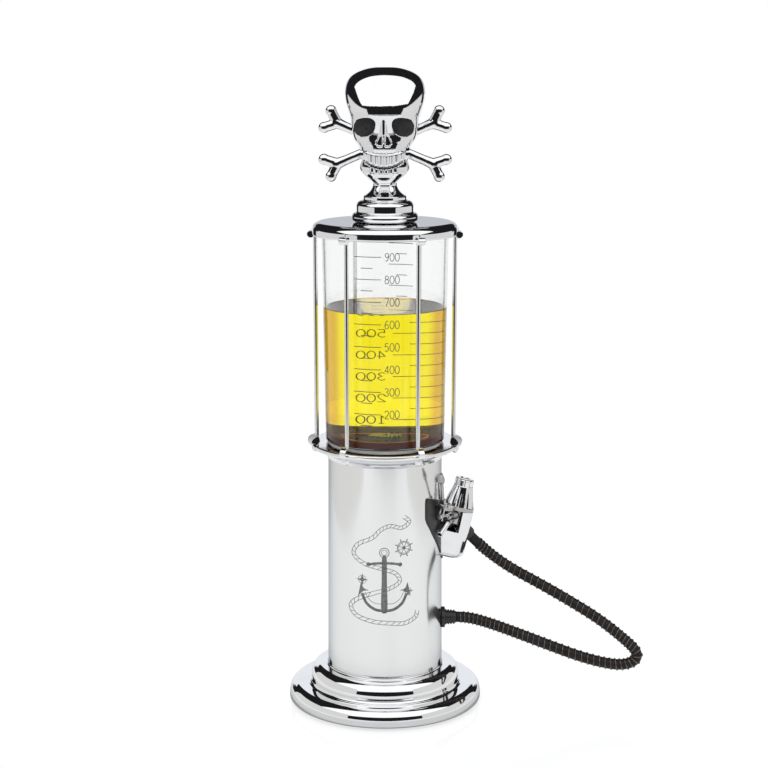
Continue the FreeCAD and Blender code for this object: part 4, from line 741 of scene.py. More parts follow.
@dataclass(frozen=True)
class Solid(Finish):
    """An opaque finish: two near colours, a roughness that wanders and a fine relief."""

    name: str
    light: Colour
    dark: Colour
    metallic: float = 0.0
    smooth: float = 0.3  # lowest roughness
    rough: float = 0.45  # highest roughness
    patch: float = 60.0  # cycles per metre of the colour and roughness
    grain: float = 900.0  # cycles per metre of the relief
    depth: float = 0.02  # relief in millimetres
    strength: float = 0.25
    stretch: tuple[float, float, float] = (1.0, 1.0, 1.0)
    gloss: float = 0.5  # specular level
    edge: Colour = (1.0, 1.0, 1.0)  # tint of what is mirrored at a flat angle

    def build(self, graph: Graph) -> bpy.types.NodeSocket:
        """Fills the graph.

        Args:
            graph: the graph to fill.

        Returns:
            The shader.
        """
        shader = graph.add("ShaderNodeBsdfPrincipled")
        shader.inputs["Specular IOR Level"].default_value = self.gloss
        shader.inputs["Specular Tint"].default_value = (*self.edge, 1.0)
        patches = graph.noise(self.patch, self.stretch)
        graph.link(graph.between(graph.spread(patches, 0.0, 1.0), self.light, self.dark),
                   shader.inputs["Base Color"])
        graph.link(graph.spread(patches, self.smooth, self.rough), shader.inputs["Roughness"])
        shader.inputs["Metallic"].default_value = self.metallic
        grain = graph.noise(self.grain, self.stretch, 2.0)
        graph.link(graph.relief(grain, self.depth, self.strength), shader.inputs["Normal"])
        return shader.outputs["BSDF"]


@dataclass(frozen=True)
class Clear(Finish):
    """Clear moulded plastic with the faint waves of the mould."""

    name: str
    tint: Colour = (0.985, 0.99, 0.988)
    second_tint: Colour = (0.97, 0.98, 0.98)
    bend: float = 1.49
    rough: float = 0.012
    wave: float = 40.0  # cycles per metre of the waves

    def build(self, graph: Graph) -> bpy.types.NodeSocket:
        """Fills the graph.

        Args:
            graph: the graph to fill.

        Returns:
            The shader.
        """
        shader = graph.add("ShaderNodeBsdfPrincipled")
        shader.inputs["Transmission Weight"].default_value = 1.0
        shader.inputs["IOR"].default_value = self.bend
        waves = graph.noise(self.wave, (1.0, 1.0, 0.25), 1.0)
        graph.link(graph.between(graph.spread(waves, 0.0, 1.0), self.tint, self.second_tint),
                   shader.inputs["Base Color"])
        graph.link(graph.spread(waves, 0.0, self.rough), shader.inputs["Roughness"])
        return shader.outputs["BSDF"]


@dataclass(frozen=True)
class Drink(Finish):
    """The drink: yellow where it is looked at squarely and amber towards its sides, a painted shade; at its
    floor a brown painted reflection with a painted highlight ring.
    """

    name: str = "amber_drink"
    # painted shade: middle, side and rim are the drink looked at squarely, aslant and almost edge-on, darker
    # towards its sides where light passes longer through it
    middle: Colour = (1.0, 0.85, 0.006)
    side: Colour = (0.78, 0.34, 0.02)
    rim: Colour = (0.27, 0.11, 0.045)
    side_facing: tuple[float, float] = (0.125, 0.20)  # facing values over which the middle turns to the side, a painted shade
    rim_facing: tuple[float, float] = (0.232, 0.285)  # and the side to the rim, a darker painted shade
    skin: Colour = (0.66, 0.49, 0.40)  # painted reflection: colour of the liquid's surface
    skin_level: float = 289.0  # the surface's colour is above this height
    surface_shade: Colour = (0.085, 0.055, 0.05)  # painted shade on the surface near the wall
    surface_shade_span: tuple[float, float] = (17.0, 25.0)  # distance from the middle over which it comes in
    surface_shade_share: float = 0.5
    # painted reflection: below floor_level the drink is an opaque dark brown standing in for the dark collar
    # seen through the cup's floor, with a bright painted highlight ring and darker patches outside it
    floor: Colour = (0.060, 0.010, 0.012)
    floor_level: float = 196.68  # the floor's painted reflection is below this height
    ring: Colour = (0.95, 0.19, 0.02)
    highlight_ring_radius: float = 23.0
    highlight_ring_width: float = 1.7
    outer: Colour = (0.10, 0.016, 0.006)  # of the painted reflection outside the ring
    wave: float = 120.0  # cycles per metre of the painted reflection's patches
    bend: float = 1.36

    def clear(self, graph: Graph, high: bpy.types.NodeSocket) -> bpy.types.NodeSocket:
        """The clear liquid.

        Args:
            graph: the graph to fill.
            high: 1 at the liquid's surface.

        Returns:
            Its shader.
        """
        shader = graph.add("ShaderNodeBsdfPrincipled")
        shader.inputs["Transmission Weight"].default_value = 1.0
        shader.inputs["IOR"].default_value = self.bend
        shader.inputs["Roughness"].default_value = 0.0
        # painted shade: the drink darkens towards its sides by how squarely it is looked at
        facing = graph.add("ShaderNodeLayerWeight")
        facing.inputs["Blend"].default_value = 0.5
        edge = graph.ramp(facing.outputs["Facing"], *self.side_facing)
        rim = graph.ramp(facing.outputs["Facing"], *self.rim_facing)
        body = graph.blend(rim, graph.between(edge, self.middle, self.side), self.rim)
        graph.link(graph.blend(high, body, self.skin), shader.inputs["Base Color"])
        return shader.outputs["BSDF"]

    def floor_reflection(self, graph: Graph, across: bpy.types.NodeSocket) -> bpy.types.NodeSocket:
        """The painted reflection on the drink's floor: brown, with a bright painted highlight ring.

        Args:
            graph: the graph to fill.
            across: distance from the axis.

        Returns:
            Its shader.
        """
        shader = graph.add("ShaderNodeBsdfDiffuse")
        radius = self.highlight_ring_radius * MM
        from_ring = graph.math("ABSOLUTE", graph.math("SUBTRACT", across, radius))
        ring = graph.ramp(from_ring, 0.0, self.highlight_ring_width * MM, rising=False)
        outside = graph.math("GREATER_THAN", across, radius)
        patches = graph.spread(graph.noise(self.wave, detail=2.0), 0.7, 1.0)
        floor_reflection = graph.between(graph.product(outside, patches), self.floor, self.outer)
        graph.link(graph.blend(ring, floor_reflection, self.ring), shader.inputs["Color"])
        return shader.outputs["BSDF"]

    def build(self, graph: Graph) -> bpy.types.NodeSocket:
        """Fills the graph.

        Args:
            graph: the graph to fill.

        Returns:
            The shader.
        """
        x, y, z = graph.place()
        high = graph.math("GREATER_THAN", z, self.skin_level * MM)
        # below the floor level the drink shows the painted reflection and its painted highlight ring
        low = graph.math("LESS_THAN", z, self.floor_level * MM)
        liquid = graph.mix(low, self.clear(graph, high), self.floor_reflection(graph, graph.away(x, y)))
        # painted shade on the drink's surface near the wall
        first, last = self.surface_shade_span
        aside = graph.ramp(graph.math("ABSOLUTE", x), first * MM, last * MM)
        return graph.mix(graph.product(high, self.surface_shade_share, aside), liquid, graph.diffuse(self.surface_shade))


CHROME = Solid("bright_chrome", (0.90, 0.905, 0.915), (0.86, 0.866, 0.88), metallic=1.0, smooth=0.02,
               rough=0.055, patch=45.0, grain=220.0, depth=0.01, strength=0.12)
SOFT_CHROME = Solid("moulded_chrome", (0.90, 0.905, 0.915), (0.85, 0.856, 0.87), metallic=1.0, smooth=0.03,
                    rough=0.075, patch=90.0, grain=260.0, depth=0.015, strength=0.2)
ROD_CHROME = Solid("rod_chrome", (0.90, 0.905, 0.91), (0.865, 0.87, 0.875), metallic=1.0, smooth=0.12,
                   rough=0.20, patch=60.0, grain=500.0, depth=0.006, strength=0.10, stretch=(1.0, 1.0, 0.04))
COLUMN_CHROME = Solid("drawn_chrome", (0.90, 0.91, 0.91), (0.875, 0.885, 0.885), metallic=1.0, smooth=0.10,
                      rough=0.17, patch=45.0, grain=420.0, depth=0.008, strength=0.14,
                      stretch=(1.0, 1.0, 0.03), edge=(0.62, 0.64, 0.66))
# darker copy of the chrome: on the tap body a painted shade for the dark inside of the pocket; the lever and
# its knob share it
DARK_CHROME = Solid("dark_chrome", (0.50, 0.49, 0.48), (0.40, 0.395, 0.39), metallic=1.0, smooth=0.06,
                    rough=0.12, patch=90.0, grain=260.0, depth=0.012, strength=0.2)
STEEL = Solid("plain_steel", (0.56, 0.56, 0.57), (0.48, 0.48, 0.49), metallic=1.0, smooth=0.22, rough=0.38,
              patch=120.0, grain=1500.0, depth=0.01, strength=0.2)
WIRE = Solid("dark_wire", (0.20, 0.17, 0.155), (0.10, 0.085, 0.078), metallic=1.0, smooth=0.28, rough=0.44,
             patch=300.0, grain=1500.0, depth=0.01, strength=0.2)
BRASS = Solid("plain_brass", (0.72, 0.55, 0.27), (0.60, 0.44, 0.20), metallic=1.0, smooth=0.2, rough=0.35,
              patch=120.0, grain=1500.0, depth=0.01, strength=0.2)
RUBBER = Solid("black_rubber", (0.007, 0.0065, 0.006), (0.018, 0.016, 0.015), smooth=0.38, rough=0.55,
               patch=200.0, grain=1800.0, depth=0.03, strength=0.35, gloss=0.22)
BLACK = Solid("black_fitting", (0.012, 0.012, 0.013), (0.024, 0.024, 0.026), smooth=0.26, rough=0.38,
              patch=180.0, grain=1200.0, depth=0.02, strength=0.25)
MATT_BLACK = Solid("matt_black", (0.012, 0.012, 0.012), (0.026, 0.025, 0.024), smooth=0.55, rough=0.75,
                   patch=220.0, grain=1400.0, depth=0.04, strength=0.4)
MOULDED_BLACK = Solid("moulded_black", (0.02, 0.02, 0.021), (0.035, 0.035, 0.036), smooth=0.42, rough=0.55,
                      patch=90.0, grain=1600.0, depth=0.03, strength=0.3)
SILICONE = Solid("pale_silicone", (0.72, 0.72, 0.69), (0.62, 0.62, 0.60), smooth=0.35, rough=0.5,
                 patch=150.0, grain=900.0, depth=0.02, strength=0.2)
INK = Solid("scale_ink", (0.045, 0.043, 0.04), (0.09, 0.085, 0.08), smooth=0.5, rough=0.6, patch=700.0,
            grain=2500.0, depth=0.005, strength=0.2)
ENGRAVED = Solid("engraved_line", (0.10, 0.10, 0.10), (0.22, 0.22, 0.21), metallic=0.3, smooth=0.4,
                 rough=0.55, patch=500.0, grain=2500.0, depth=0.01, strength=0.3)
CLEAR = Clear("clear_tank")
DRINK = Drink()


# ---------------------------------------------------------------- the bench
@dataclass(frozen=True)
class Bend:
    """Two bodies and two points for a soft piece to bend between; applying it only bakes the piece's place
    into its mesh.
    """

    first: Body
    second: Body
    start: Corner
    finish: Corner

    def apply(self, obj: bpy.types.Object) -> None:
        """Bakes an object's place into its mesh; the bodies and points are not used."""
        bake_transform(obj)


class Bench:
    """Makes pieces, gives them their finish and body, and reports them."""

    def __init__(self) -> None:
        """Starts with no pieces and the shared smoothing group."""
        self.count = 0
        self.smoothing = self._smoothing_group()

    @staticmethod
    def _smoothing_group() -> bpy.types.NodeTree:
        """A modifier graph: joins loose triangles, then shades smooth except across sharp edges.

        Returns:
            The node group.
        """
        tree = bpy.data.node_groups.new("smooth_facets", "GeometryNodeTree")
        tree.interface.new_socket("Geometry", in_out="INPUT", socket_type="NodeSocketGeometry")
        tree.interface.new_socket("Geometry", in_out="OUTPUT", socket_type="NodeSocketGeometry")
        graph = Graph(tree)
        start, finish = graph.add("NodeGroupInput"), graph.add("NodeGroupOutput")
        merge = graph.add("GeometryNodeMergeByDistance")
        merge.inputs["Distance"].default_value = FACET_MERGE
        faces = graph.add("GeometryNodeSetShadeSmooth", domain="FACE")
        edges = graph.add("GeometryNodeSetShadeSmooth", domain="EDGE")
        angle = graph.add("GeometryNodeInputMeshEdgeAngle")
        graph.link(start.outputs[0], merge.inputs["Geometry"])
        graph.link(merge.outputs["Geometry"], faces.inputs["Geometry"])
        graph.link(faces.outputs["Geometry"], edges.inputs["Geometry"])
        sharp = graph.math("GREATER_THAN", angle.outputs["Unsigned Angle"], math.radians(SHARP_EDGE))
        graph.link(sharp, edges.inputs["Selection"])
        edges.inputs["Shade Smooth"].default_value = False
        graph.link(edges.outputs["Geometry"], finish.inputs[0])
        return tree

    def smooth(self, obj: bpy.types.Object) -> None:
        """Gives an object smooth faces with flat ones kept flat.

        Args:
            obj: the object.
        """
        modifier = obj.modifiers.new("smooth_facets", "NODES")
        modifier.node_group = self.smoothing
        weighted = obj.modifiers.new("flat_faces", "WEIGHTED_NORMAL")
        weighted.keep_sharp = True
        weighted.weight = FLAT_WEIGHT

    def node(self, name: str, finish: Finish) -> bpy.types.Object:
        """Dresses a CAD node as it is.

        Args:
            name: the node.
            finish: its finish.

        Returns:
            The node's object.
        """
        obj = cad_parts[name]
        obj.data.materials.clear()
        obj.data.materials.append(finish.material())
        self.smooth(obj)
        self.count += 1
        LOG.info("dressed %s with %s", name, finish.name)
        return obj

    def dress(self, finishes: dict[str, Finish]) -> None:
        """Dresses CAD nodes as they are, each with its finish."""
        for name, finish in finishes.items():
            self.node(name, finish)

    def adopt(self, obj: bpy.types.Object, finish: Finish, body: Body | Bend,
              replaces: Iterable[str] = ()) -> bpy.types.Object:
        """Gives a made object its finish and body, and hides the CAD nodes it stands for.

        Args:
            obj: the object.
            finish: its finish.
            body: the body it rides on, or a bend, which only bakes its place into its mesh.
            replaces: CAD nodes it stands for.

        Returns:
            The object.
        """
        obj.data.materials.clear()
        obj.data.materials.append(finish.material())
        if isinstance(body, Bend):
            body.apply(obj)
        else:
            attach(obj, body.value)
        nodes = list(replaces)
        if nodes:
            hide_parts(*nodes)
        self.count += 1
        LOG.info("made %s with %s on %s", obj.name, finish.name, body)
        return obj

    def piece(self, name: str, shape: Shape, finish: Finish, body: Body | Bend = Body.FRAME,
              replaces: Iterable[str] = ()) -> bpy.types.Object:
        """Makes a piece from a shape in millimetres.

        Args:
            name: the piece's name.
            shape: its points and quads.
            finish: its finish.
            body: the body it rides on, or a bend, which only bakes its place into its mesh.
            replaces: CAD nodes it stands for.

        Returns:
            The new object.
        """
        mesh = bpy.data.meshes.new(name)
        mesh.vertices.add(len(shape.points))
        mesh.vertices.foreach_set("co", (shape.points * MM).astype(np.float32).ravel())
        mesh.loops.add(shape.quads.size)
        mesh.loops.foreach_set("vertex_index", shape.quads.astype(np.int32).ravel())
        mesh.polygons.add(len(shape.quads))
        mesh.polygons.foreach_set("loop_start", np.arange(0, shape.quads.size, 4, dtype=np.int32))
        mesh.update(calc_edges=True)
        self.close(mesh)
        obj = bpy.data.objects.new(name, mesh)
        bpy.context.scene.collection.objects.link(obj)
        return self.adopt(obj, finish, body, replaces)

    @staticmethod
    def close(mesh: bpy.types.Mesh) -> None:
        """Merges seams and poles of a mesh, turns its faces outward and shades it smooth.

        Args:
            mesh: the mesh.
        """
        work = bmesh.new()
        work.from_mesh(mesh)
        bmesh.ops.remove_doubles(work, verts=work.verts, dist=MERGE)
        bmesh.ops.dissolve_degenerate(work, edges=work.edges, dist=SLIVER)
        bmesh.ops.recalc_face_normals(work, faces=work.faces)
        work.to_mesh(mesh)
        work.free()
        mesh.polygons.foreach_set("use_smooth", np.ones(len(mesh.polygons), dtype=bool))
        mesh.update()

    def organic(self, node: str, name: str, finish: Finish, body: Body, voxel_mm: float,
                rounds: int, dressing: Callable[[np.ndarray], np.ndarray]) -> bpy.types.Object:
        """A moulded copy of a CAD node: its loose triangles joined, remeshed evenly and relaxed.

        Args:
            node: the CAD node to copy.
            name: the piece's name.
            finish: its finish.
            body: the body it rides on.
            voxel_mm: size of the even faces.
            rounds: how often each point moves halfway to its neighbours' middle.
            dressing: moves the finished points, in millimetres.

        Returns:
            The new object.
        """
        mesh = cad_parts[node].data.copy()
        work = bmesh.new()
        work.from_mesh(mesh)
        bmesh.ops.remove_doubles(work, verts=work.verts, dist=FACET_MERGE)
        work.to_mesh(mesh)
        work.free()
        raw = bpy.data.objects.new(f"{name}_raw", mesh)
        bpy.context.scene.collection.objects.link(raw)
        remesh = raw.modifiers.new("even_faces", "REMESH")
        remesh.mode = "VOXEL"
        remesh.voxel_size = voxel_mm * MM
        remesh.use_smooth_shade = True
        relax = raw.modifiers.new("relax", "SMOOTH")
        relax.factor = 0.5
        relax.iterations = rounds
        evaluated = raw.evaluated_get(bpy.context.evaluated_depsgraph_get())
        finished = bpy.data.meshes.new_from_object(evaluated)
        finished.name = name
        bpy.data.objects.remove(raw)
        points = np.empty(len(finished.vertices) * 3)
        finished.vertices.foreach_get("co", points)
        finished.vertices.foreach_set("co", (dressing(points.reshape(-1, 3) / MM) * MM).ravel())
        finished.polygons.foreach_set("use_smooth", np.ones(len(finished.polygons), dtype=bool))
        obj = bpy.data.objects.new(name, finished)
        bpy.context.scene.collection.objects.link(obj)
        return self.adopt(obj, finish, body, [node])


# ---------------------------------------------------------------- sub-assemblies
@dataclass(frozen=True)
class Lugs:
    """Six short round bars that lie across the cage's rods."""

    radius: float
    width: float
    reach: float  # distance of their middles from the axis
    level: float
    count: int = 6
    first_turn: float = 57.6  # degrees about Z of the first one

    def turns(self) -> list[float]:
        """Returns the bars' places, in degrees about Z."""
        return [self.first_turn + 360 / self.count * number for number in range(self.count)]

    def shapes(self) -> list[Shape]:
        """Returns the bars."""
        return [round_stub(spun(self.reach, 0, turn) + np.array([0, 0, self.level]), spun(0, 1, turn),
                           self.radius, self.width) for turn in self.turns()]


@dataclass
class Foot:
    """The two-tier chrome foot, its plate, rubber feet and screws."""

    corners: tuple[Corner, ...] = (
        (69.4, 2.0), (70.2, 2.8), (70.2, 5.6, 0.022), (69.95, 7.8, 0.026), (69.2, 10.2, 0.145), (63.4, 13.6),
        (57.0, 13.6, -QUARTER), (54.6, 16.0), (54.6, 17.4, 0.022), (54.3, 19.8, 0.026), (53.4, 22.6, 0.155),
        (47.2, 26.6), (44.5, 26.6), (43.5, 26.6, -QUARTER), (42.6, 27.5), (42.2, 27.5), (42.2, 26.6),
        (40.45, 26.6), (40.45, 34.6), (38.85, 34.6), (38.85, 24.9), (43.4, 24.9, -SOFT), (52.9, 19.3),
        (52.9, 12.7), (56.3, 11.68, -SOFT), (64.9, 5.76), (64.9, 2.0))

    def build(self, bench: Bench) -> None:
        """Makes the shell and dresses what is under it.

        Args:
            bench: makes and dresses the pieces.
        """
        shell = turned(Profile(self.corners, 0.25), FINE)
        bench.piece("foot_shell", shell, CHROME, replaces=["base_shell"])
        bench.dress({"base_plate": MOULDED_BLACK, "base_feet": RUBBER, "base_screws": STEEL})


@dataclass
class Column:
    """The polished tube between foot and collar, with the fittings inside it."""

    radius: float = 42.0
    inside: float = 40.5
    foot: float = 26.6
    head: float = 178.6

    def build(self, bench: Bench) -> None:
        """Makes the tube and dresses the liquid way.

        Args:
            bench: makes and dresses the pieces.
        """
        corners = ((self.radius, self.foot), (self.radius, self.head), (self.inside, self.head),
                   (self.inside, self.foot))
        skin = turned(Profile(corners, 0.2), FINE)
        bench.piece("column_skin", skin, COLUMN_CHROME, replaces=["column_tube"])
        bench.dress({"tank_outlet": BLACK, "outlet_nut": BRASS, "inner_tube": SILICONE, "hose_clamps": STEEL,
                     "fitting_nut": BRASS, "wall_fitting": BLACK})


@dataclass
class Engraving:
    """The line picture on the column: an anchor with a rope round it, two stars and a ship's wheel."""

    radius: float = 42.0
    line: float = 0.55
    fine: float = 0.4
    lift: float = 0.03
    anchor_at: tuple[float, ...] = (-0.5, 74.5, 47.0)  # x, z and height
    anchor_own: float = 60.0  # height of the anchor's own drawing
    wheel_at: tuple[float, ...] = (13.6, 121.0, 6.6)  # x, z and reach
    wheel_rims: tuple[float, float] = (0.72, 0.58)  # shares of the reach, as in the next lines
    wheel_hub: float = 0.18
    wheel_spoke: float = 0.9
    wheel_grip: tuple[float, float] = (0.8, 1.02)
    stars_at: tuple[tuple[float, ...], ...] = ((-16.4, 98.0, 4.6), (16.6, 89.6, 3.8))
    star_waist: float = 0.3
    star_ring: float = 0.62
    upper_rope: tuple[Corner, ...] = (
        (13.5, 143.5), (17.5, 139.5), (12, 135.6), (4, 137.2), (-3, 134.4), (-9, 128.6), (-19.5, 123.0),
        (-22.5, 115.5), (-15, 109.6), (-4, 106.8), (7, 103.4), (10.6, 97.2), (3.4, 92.4), (-7, 89.2))
    lower_rope: tuple[Corner, ...] = (
        (-7, 89.2), (-18, 84.8), (-24.6, 78.6), (-21, 72.0), (-10, 68.6), (3, 67.4), (14, 66.8), (21.6, 70.0),
        (23.4, 74.6))
    rope_halves: tuple[float, float] = (1.25, 1.35)  # half the width of each rope
    shapes: list[Shape] = field(default_factory=list)

    def drum(self, height: np.ndarray) -> np.ndarray:
        """Returns the column's radius at heights."""
        return np.full_like(height, self.radius)

    def stroke(self, path: np.ndarray, width: Optional[float] = None) -> None:
        """Adds a stroke along points (x, z)."""
        path = np.asarray(path, float)
        self.shapes.append(drum_stroke(path, width or self.line, self.drum, self.lift))

    def patch(self, outline: np.ndarray) -> None:
        """Adds a filled patch."""
        self.shapes.append(drum_patch(np.asarray(outline, float), self.drum, self.lift))

    def anchor(self, x: float, z: float, high: float) -> None:
        """Draws an anchor.

        Args:
            x: its middle.
            z: level of its crown.
            high: height from the crown to the ring's top.
        """
        scale, spot = high / self.anchor_own, np.array([x, z])

        def put(points: Sequence[Sequence[float]], side: int = 1) -> np.ndarray:
            """Returns points of the anchor's own drawing in their place, or mirrored for side -1."""
            return np.asarray(points, float) * np.array([side, 1]) * scale + spot

        self.stroke(put(ring_line(0, 55.5, 4.4, 4.4)))
        self.stroke(put(ring_line(0, 55.5, 2.6, 2.6)), self.fine)
        shank = [(-2.0, 51), (2.0, 51), (2.4, 30), (2.9, 4), (0, 0), (-2.9, 4), (-2.4, 30)]
        self.patch(put(flowing(shank, 6, True)))
        stock = [(-14, 44.5), (-8, 45.6), (0, 46), (8, 45.6), (14, 44.5)]
        self.stroke(put(flowing(stock)), 2.3 * scale)
        arm = [(1, 2.2), (9, 3.6), (16.5, 9), (20.6, 17.5)]
        crease = [(2, 8.5), (9, 9.2), (14.5, 13), (17.6, 18.5)]
        fluke = [(24.2, 14.2), (21.6, 27.5), (14.4, 20.6), (19.2, 19.6)]
        for side in (-1, 1):
            self.patch(put(ring_line(side * 14.6, 44.4, 1.9, 1.9, 0, 348)))
            self.stroke(put(flowing(arm), side), 2.6 * scale)
            self.stroke(put(flowing(crease), side), self.fine)
            self.patch(put(fluke, side))

    def rope(self, line: Sequence[Sequence[float]], half: float) -> None:
        """Draws a rope as two edges and slanting strands between them.

        Args:
            line: points of its middle.
            half: half its width.
        """
        middle = flowing(line, 8)
        ahead = unit(np.gradient(middle, axis=0))
        across = np.stack([-ahead[:, 1], ahead[:, 0]], axis=1)
        self.stroke(middle + across * half, self.fine)
        self.stroke(middle - across * half, self.fine)
        for place in range(2, len(middle) - 4, 3):
            low = middle[place] - across[place] * half
            high = middle[place + 2] + across[place + 2] * half
            self.stroke(np.array([low, high]), self.fine * 0.9)

    def star(self, x: float, z: float, reach: float) -> None:
        """Draws a filled four-pointed star with a ring round it.

        Formula: eight points at equal steps of the angle, long and short in turn.

        Args:
            x: its middle.
            z: level of its middle.
            reach: length of a point.
        """
        angle = np.radians(np.arange(8) * 45.0 + 90.0)
        length = np.where(np.arange(8) % 2 == 0, reach, reach * self.star_waist)
        self.patch(np.stack([x + length * np.cos(angle), z + length * np.sin(angle)], axis=1))
        ring = reach * self.star_ring
        self.stroke(ring_line(x, z, ring, ring), self.fine * 0.8)

    def wheel(self, x: float, z: float, reach: float) -> None:
        """Draws a ship's wheel: two rims, a hub and eight spokes with grips.

        Args:
            x: its middle.
            z: level of its middle.
            reach: distance from the middle to the end of a grip.
        """
        for share, width in zip(self.wheel_rims, (self.line, self.fine)):
            self.stroke(ring_line(x, z, reach * share, reach * share), width)
        middle, hub = np.array([x, z]), reach * self.wheel_hub
        self.patch(ring_line(x, z, hub, hub, 0, 348))
        grip = [reach * share for share in self.wheel_grip]
        for place in range(8):
            turn = math.radians(place * 45.0 + 22.5)
            ray = np.array([math.cos(turn), math.sin(turn)])
            self.stroke(middle + np.outer([hub, reach * self.wheel_spoke], ray), self.fine)
            self.stroke(middle + np.outer(grip, ray), self.line * 1.3)

    def build(self, bench: Bench) -> None:
        """Draws the picture.

        Args:
            bench: makes and dresses the pieces.
        """
        self.anchor(*self.anchor_at)
        for line, half in zip((self.upper_rope, self.lower_rope), self.rope_halves):
            self.rope(line, half)
        self.wheel(*self.wheel_at)
        for place in self.stars_at:
            self.star(*place)
        picture = self.shapes[0].plus(*self.shapes[1:])
        bench.piece("column_engraving", picture, ENGRAVED)


@dataclass
class Collar:
    """The dish that carries the tank, with six lugs and domed nuts."""

    corners: tuple[Corner, ...] = (
        (5.55, 184.6), (38.85, 184.6), (38.85, 170.6), (40.45, 170.6), (40.45, 178.6), (42.6, 178.6, -SOFT),
        (52.8, 185.8, QUARTER), (54.4, 187.4), (54.4, 188.4, QUARTER), (53.2, 189.6), (5.55, 189.6))
    lugs: Lugs = Lugs(radius=4.5, width=5.0, reach=52.8, level=189.8)
    nut_radius: float = 2.9
    nut_ring: float = 51.6
    nut_level: float = 183.8
    nut_collar: float = 1.8

    def nut(self, turn: float) -> Shape:
        """One domed nut: a half sphere under a short collar.

        Args:
            turn: degrees about Z from +X.

        Returns:
            The nut.
        """
        corners = ((0, self.nut_level - self.nut_radius, QUARTER), (self.nut_radius, self.nut_level),
                   (self.nut_radius, self.nut_level + self.nut_collar), (0, self.nut_level + self.nut_collar))
        return turned(Profile(corners, 0.25), 48).moved(np.eye(3), spun(self.nut_ring, 0, turn))

    def build(self, bench: Bench) -> None:
        """Makes the dish with its lugs, and the nuts.

        Args:
            bench: makes and dresses the pieces.
        """
        dish = turned(Profile(self.corners, 0.25), FINE).plus(*self.lugs.shapes())
        bench.piece("collar_dish", dish, CHROME, replaces=["tank_collar"])
        nuts = [self.nut(turn) for turn in self.lugs.turns()]
        bench.piece("collar_dome_nuts", nuts[0].plus(*nuts[1:]), SOFT_CHROME, replaces=["collar_nuts"])
        bench.dress({"tank_gasket": SILICONE, "cap_gasket": SILICONE})


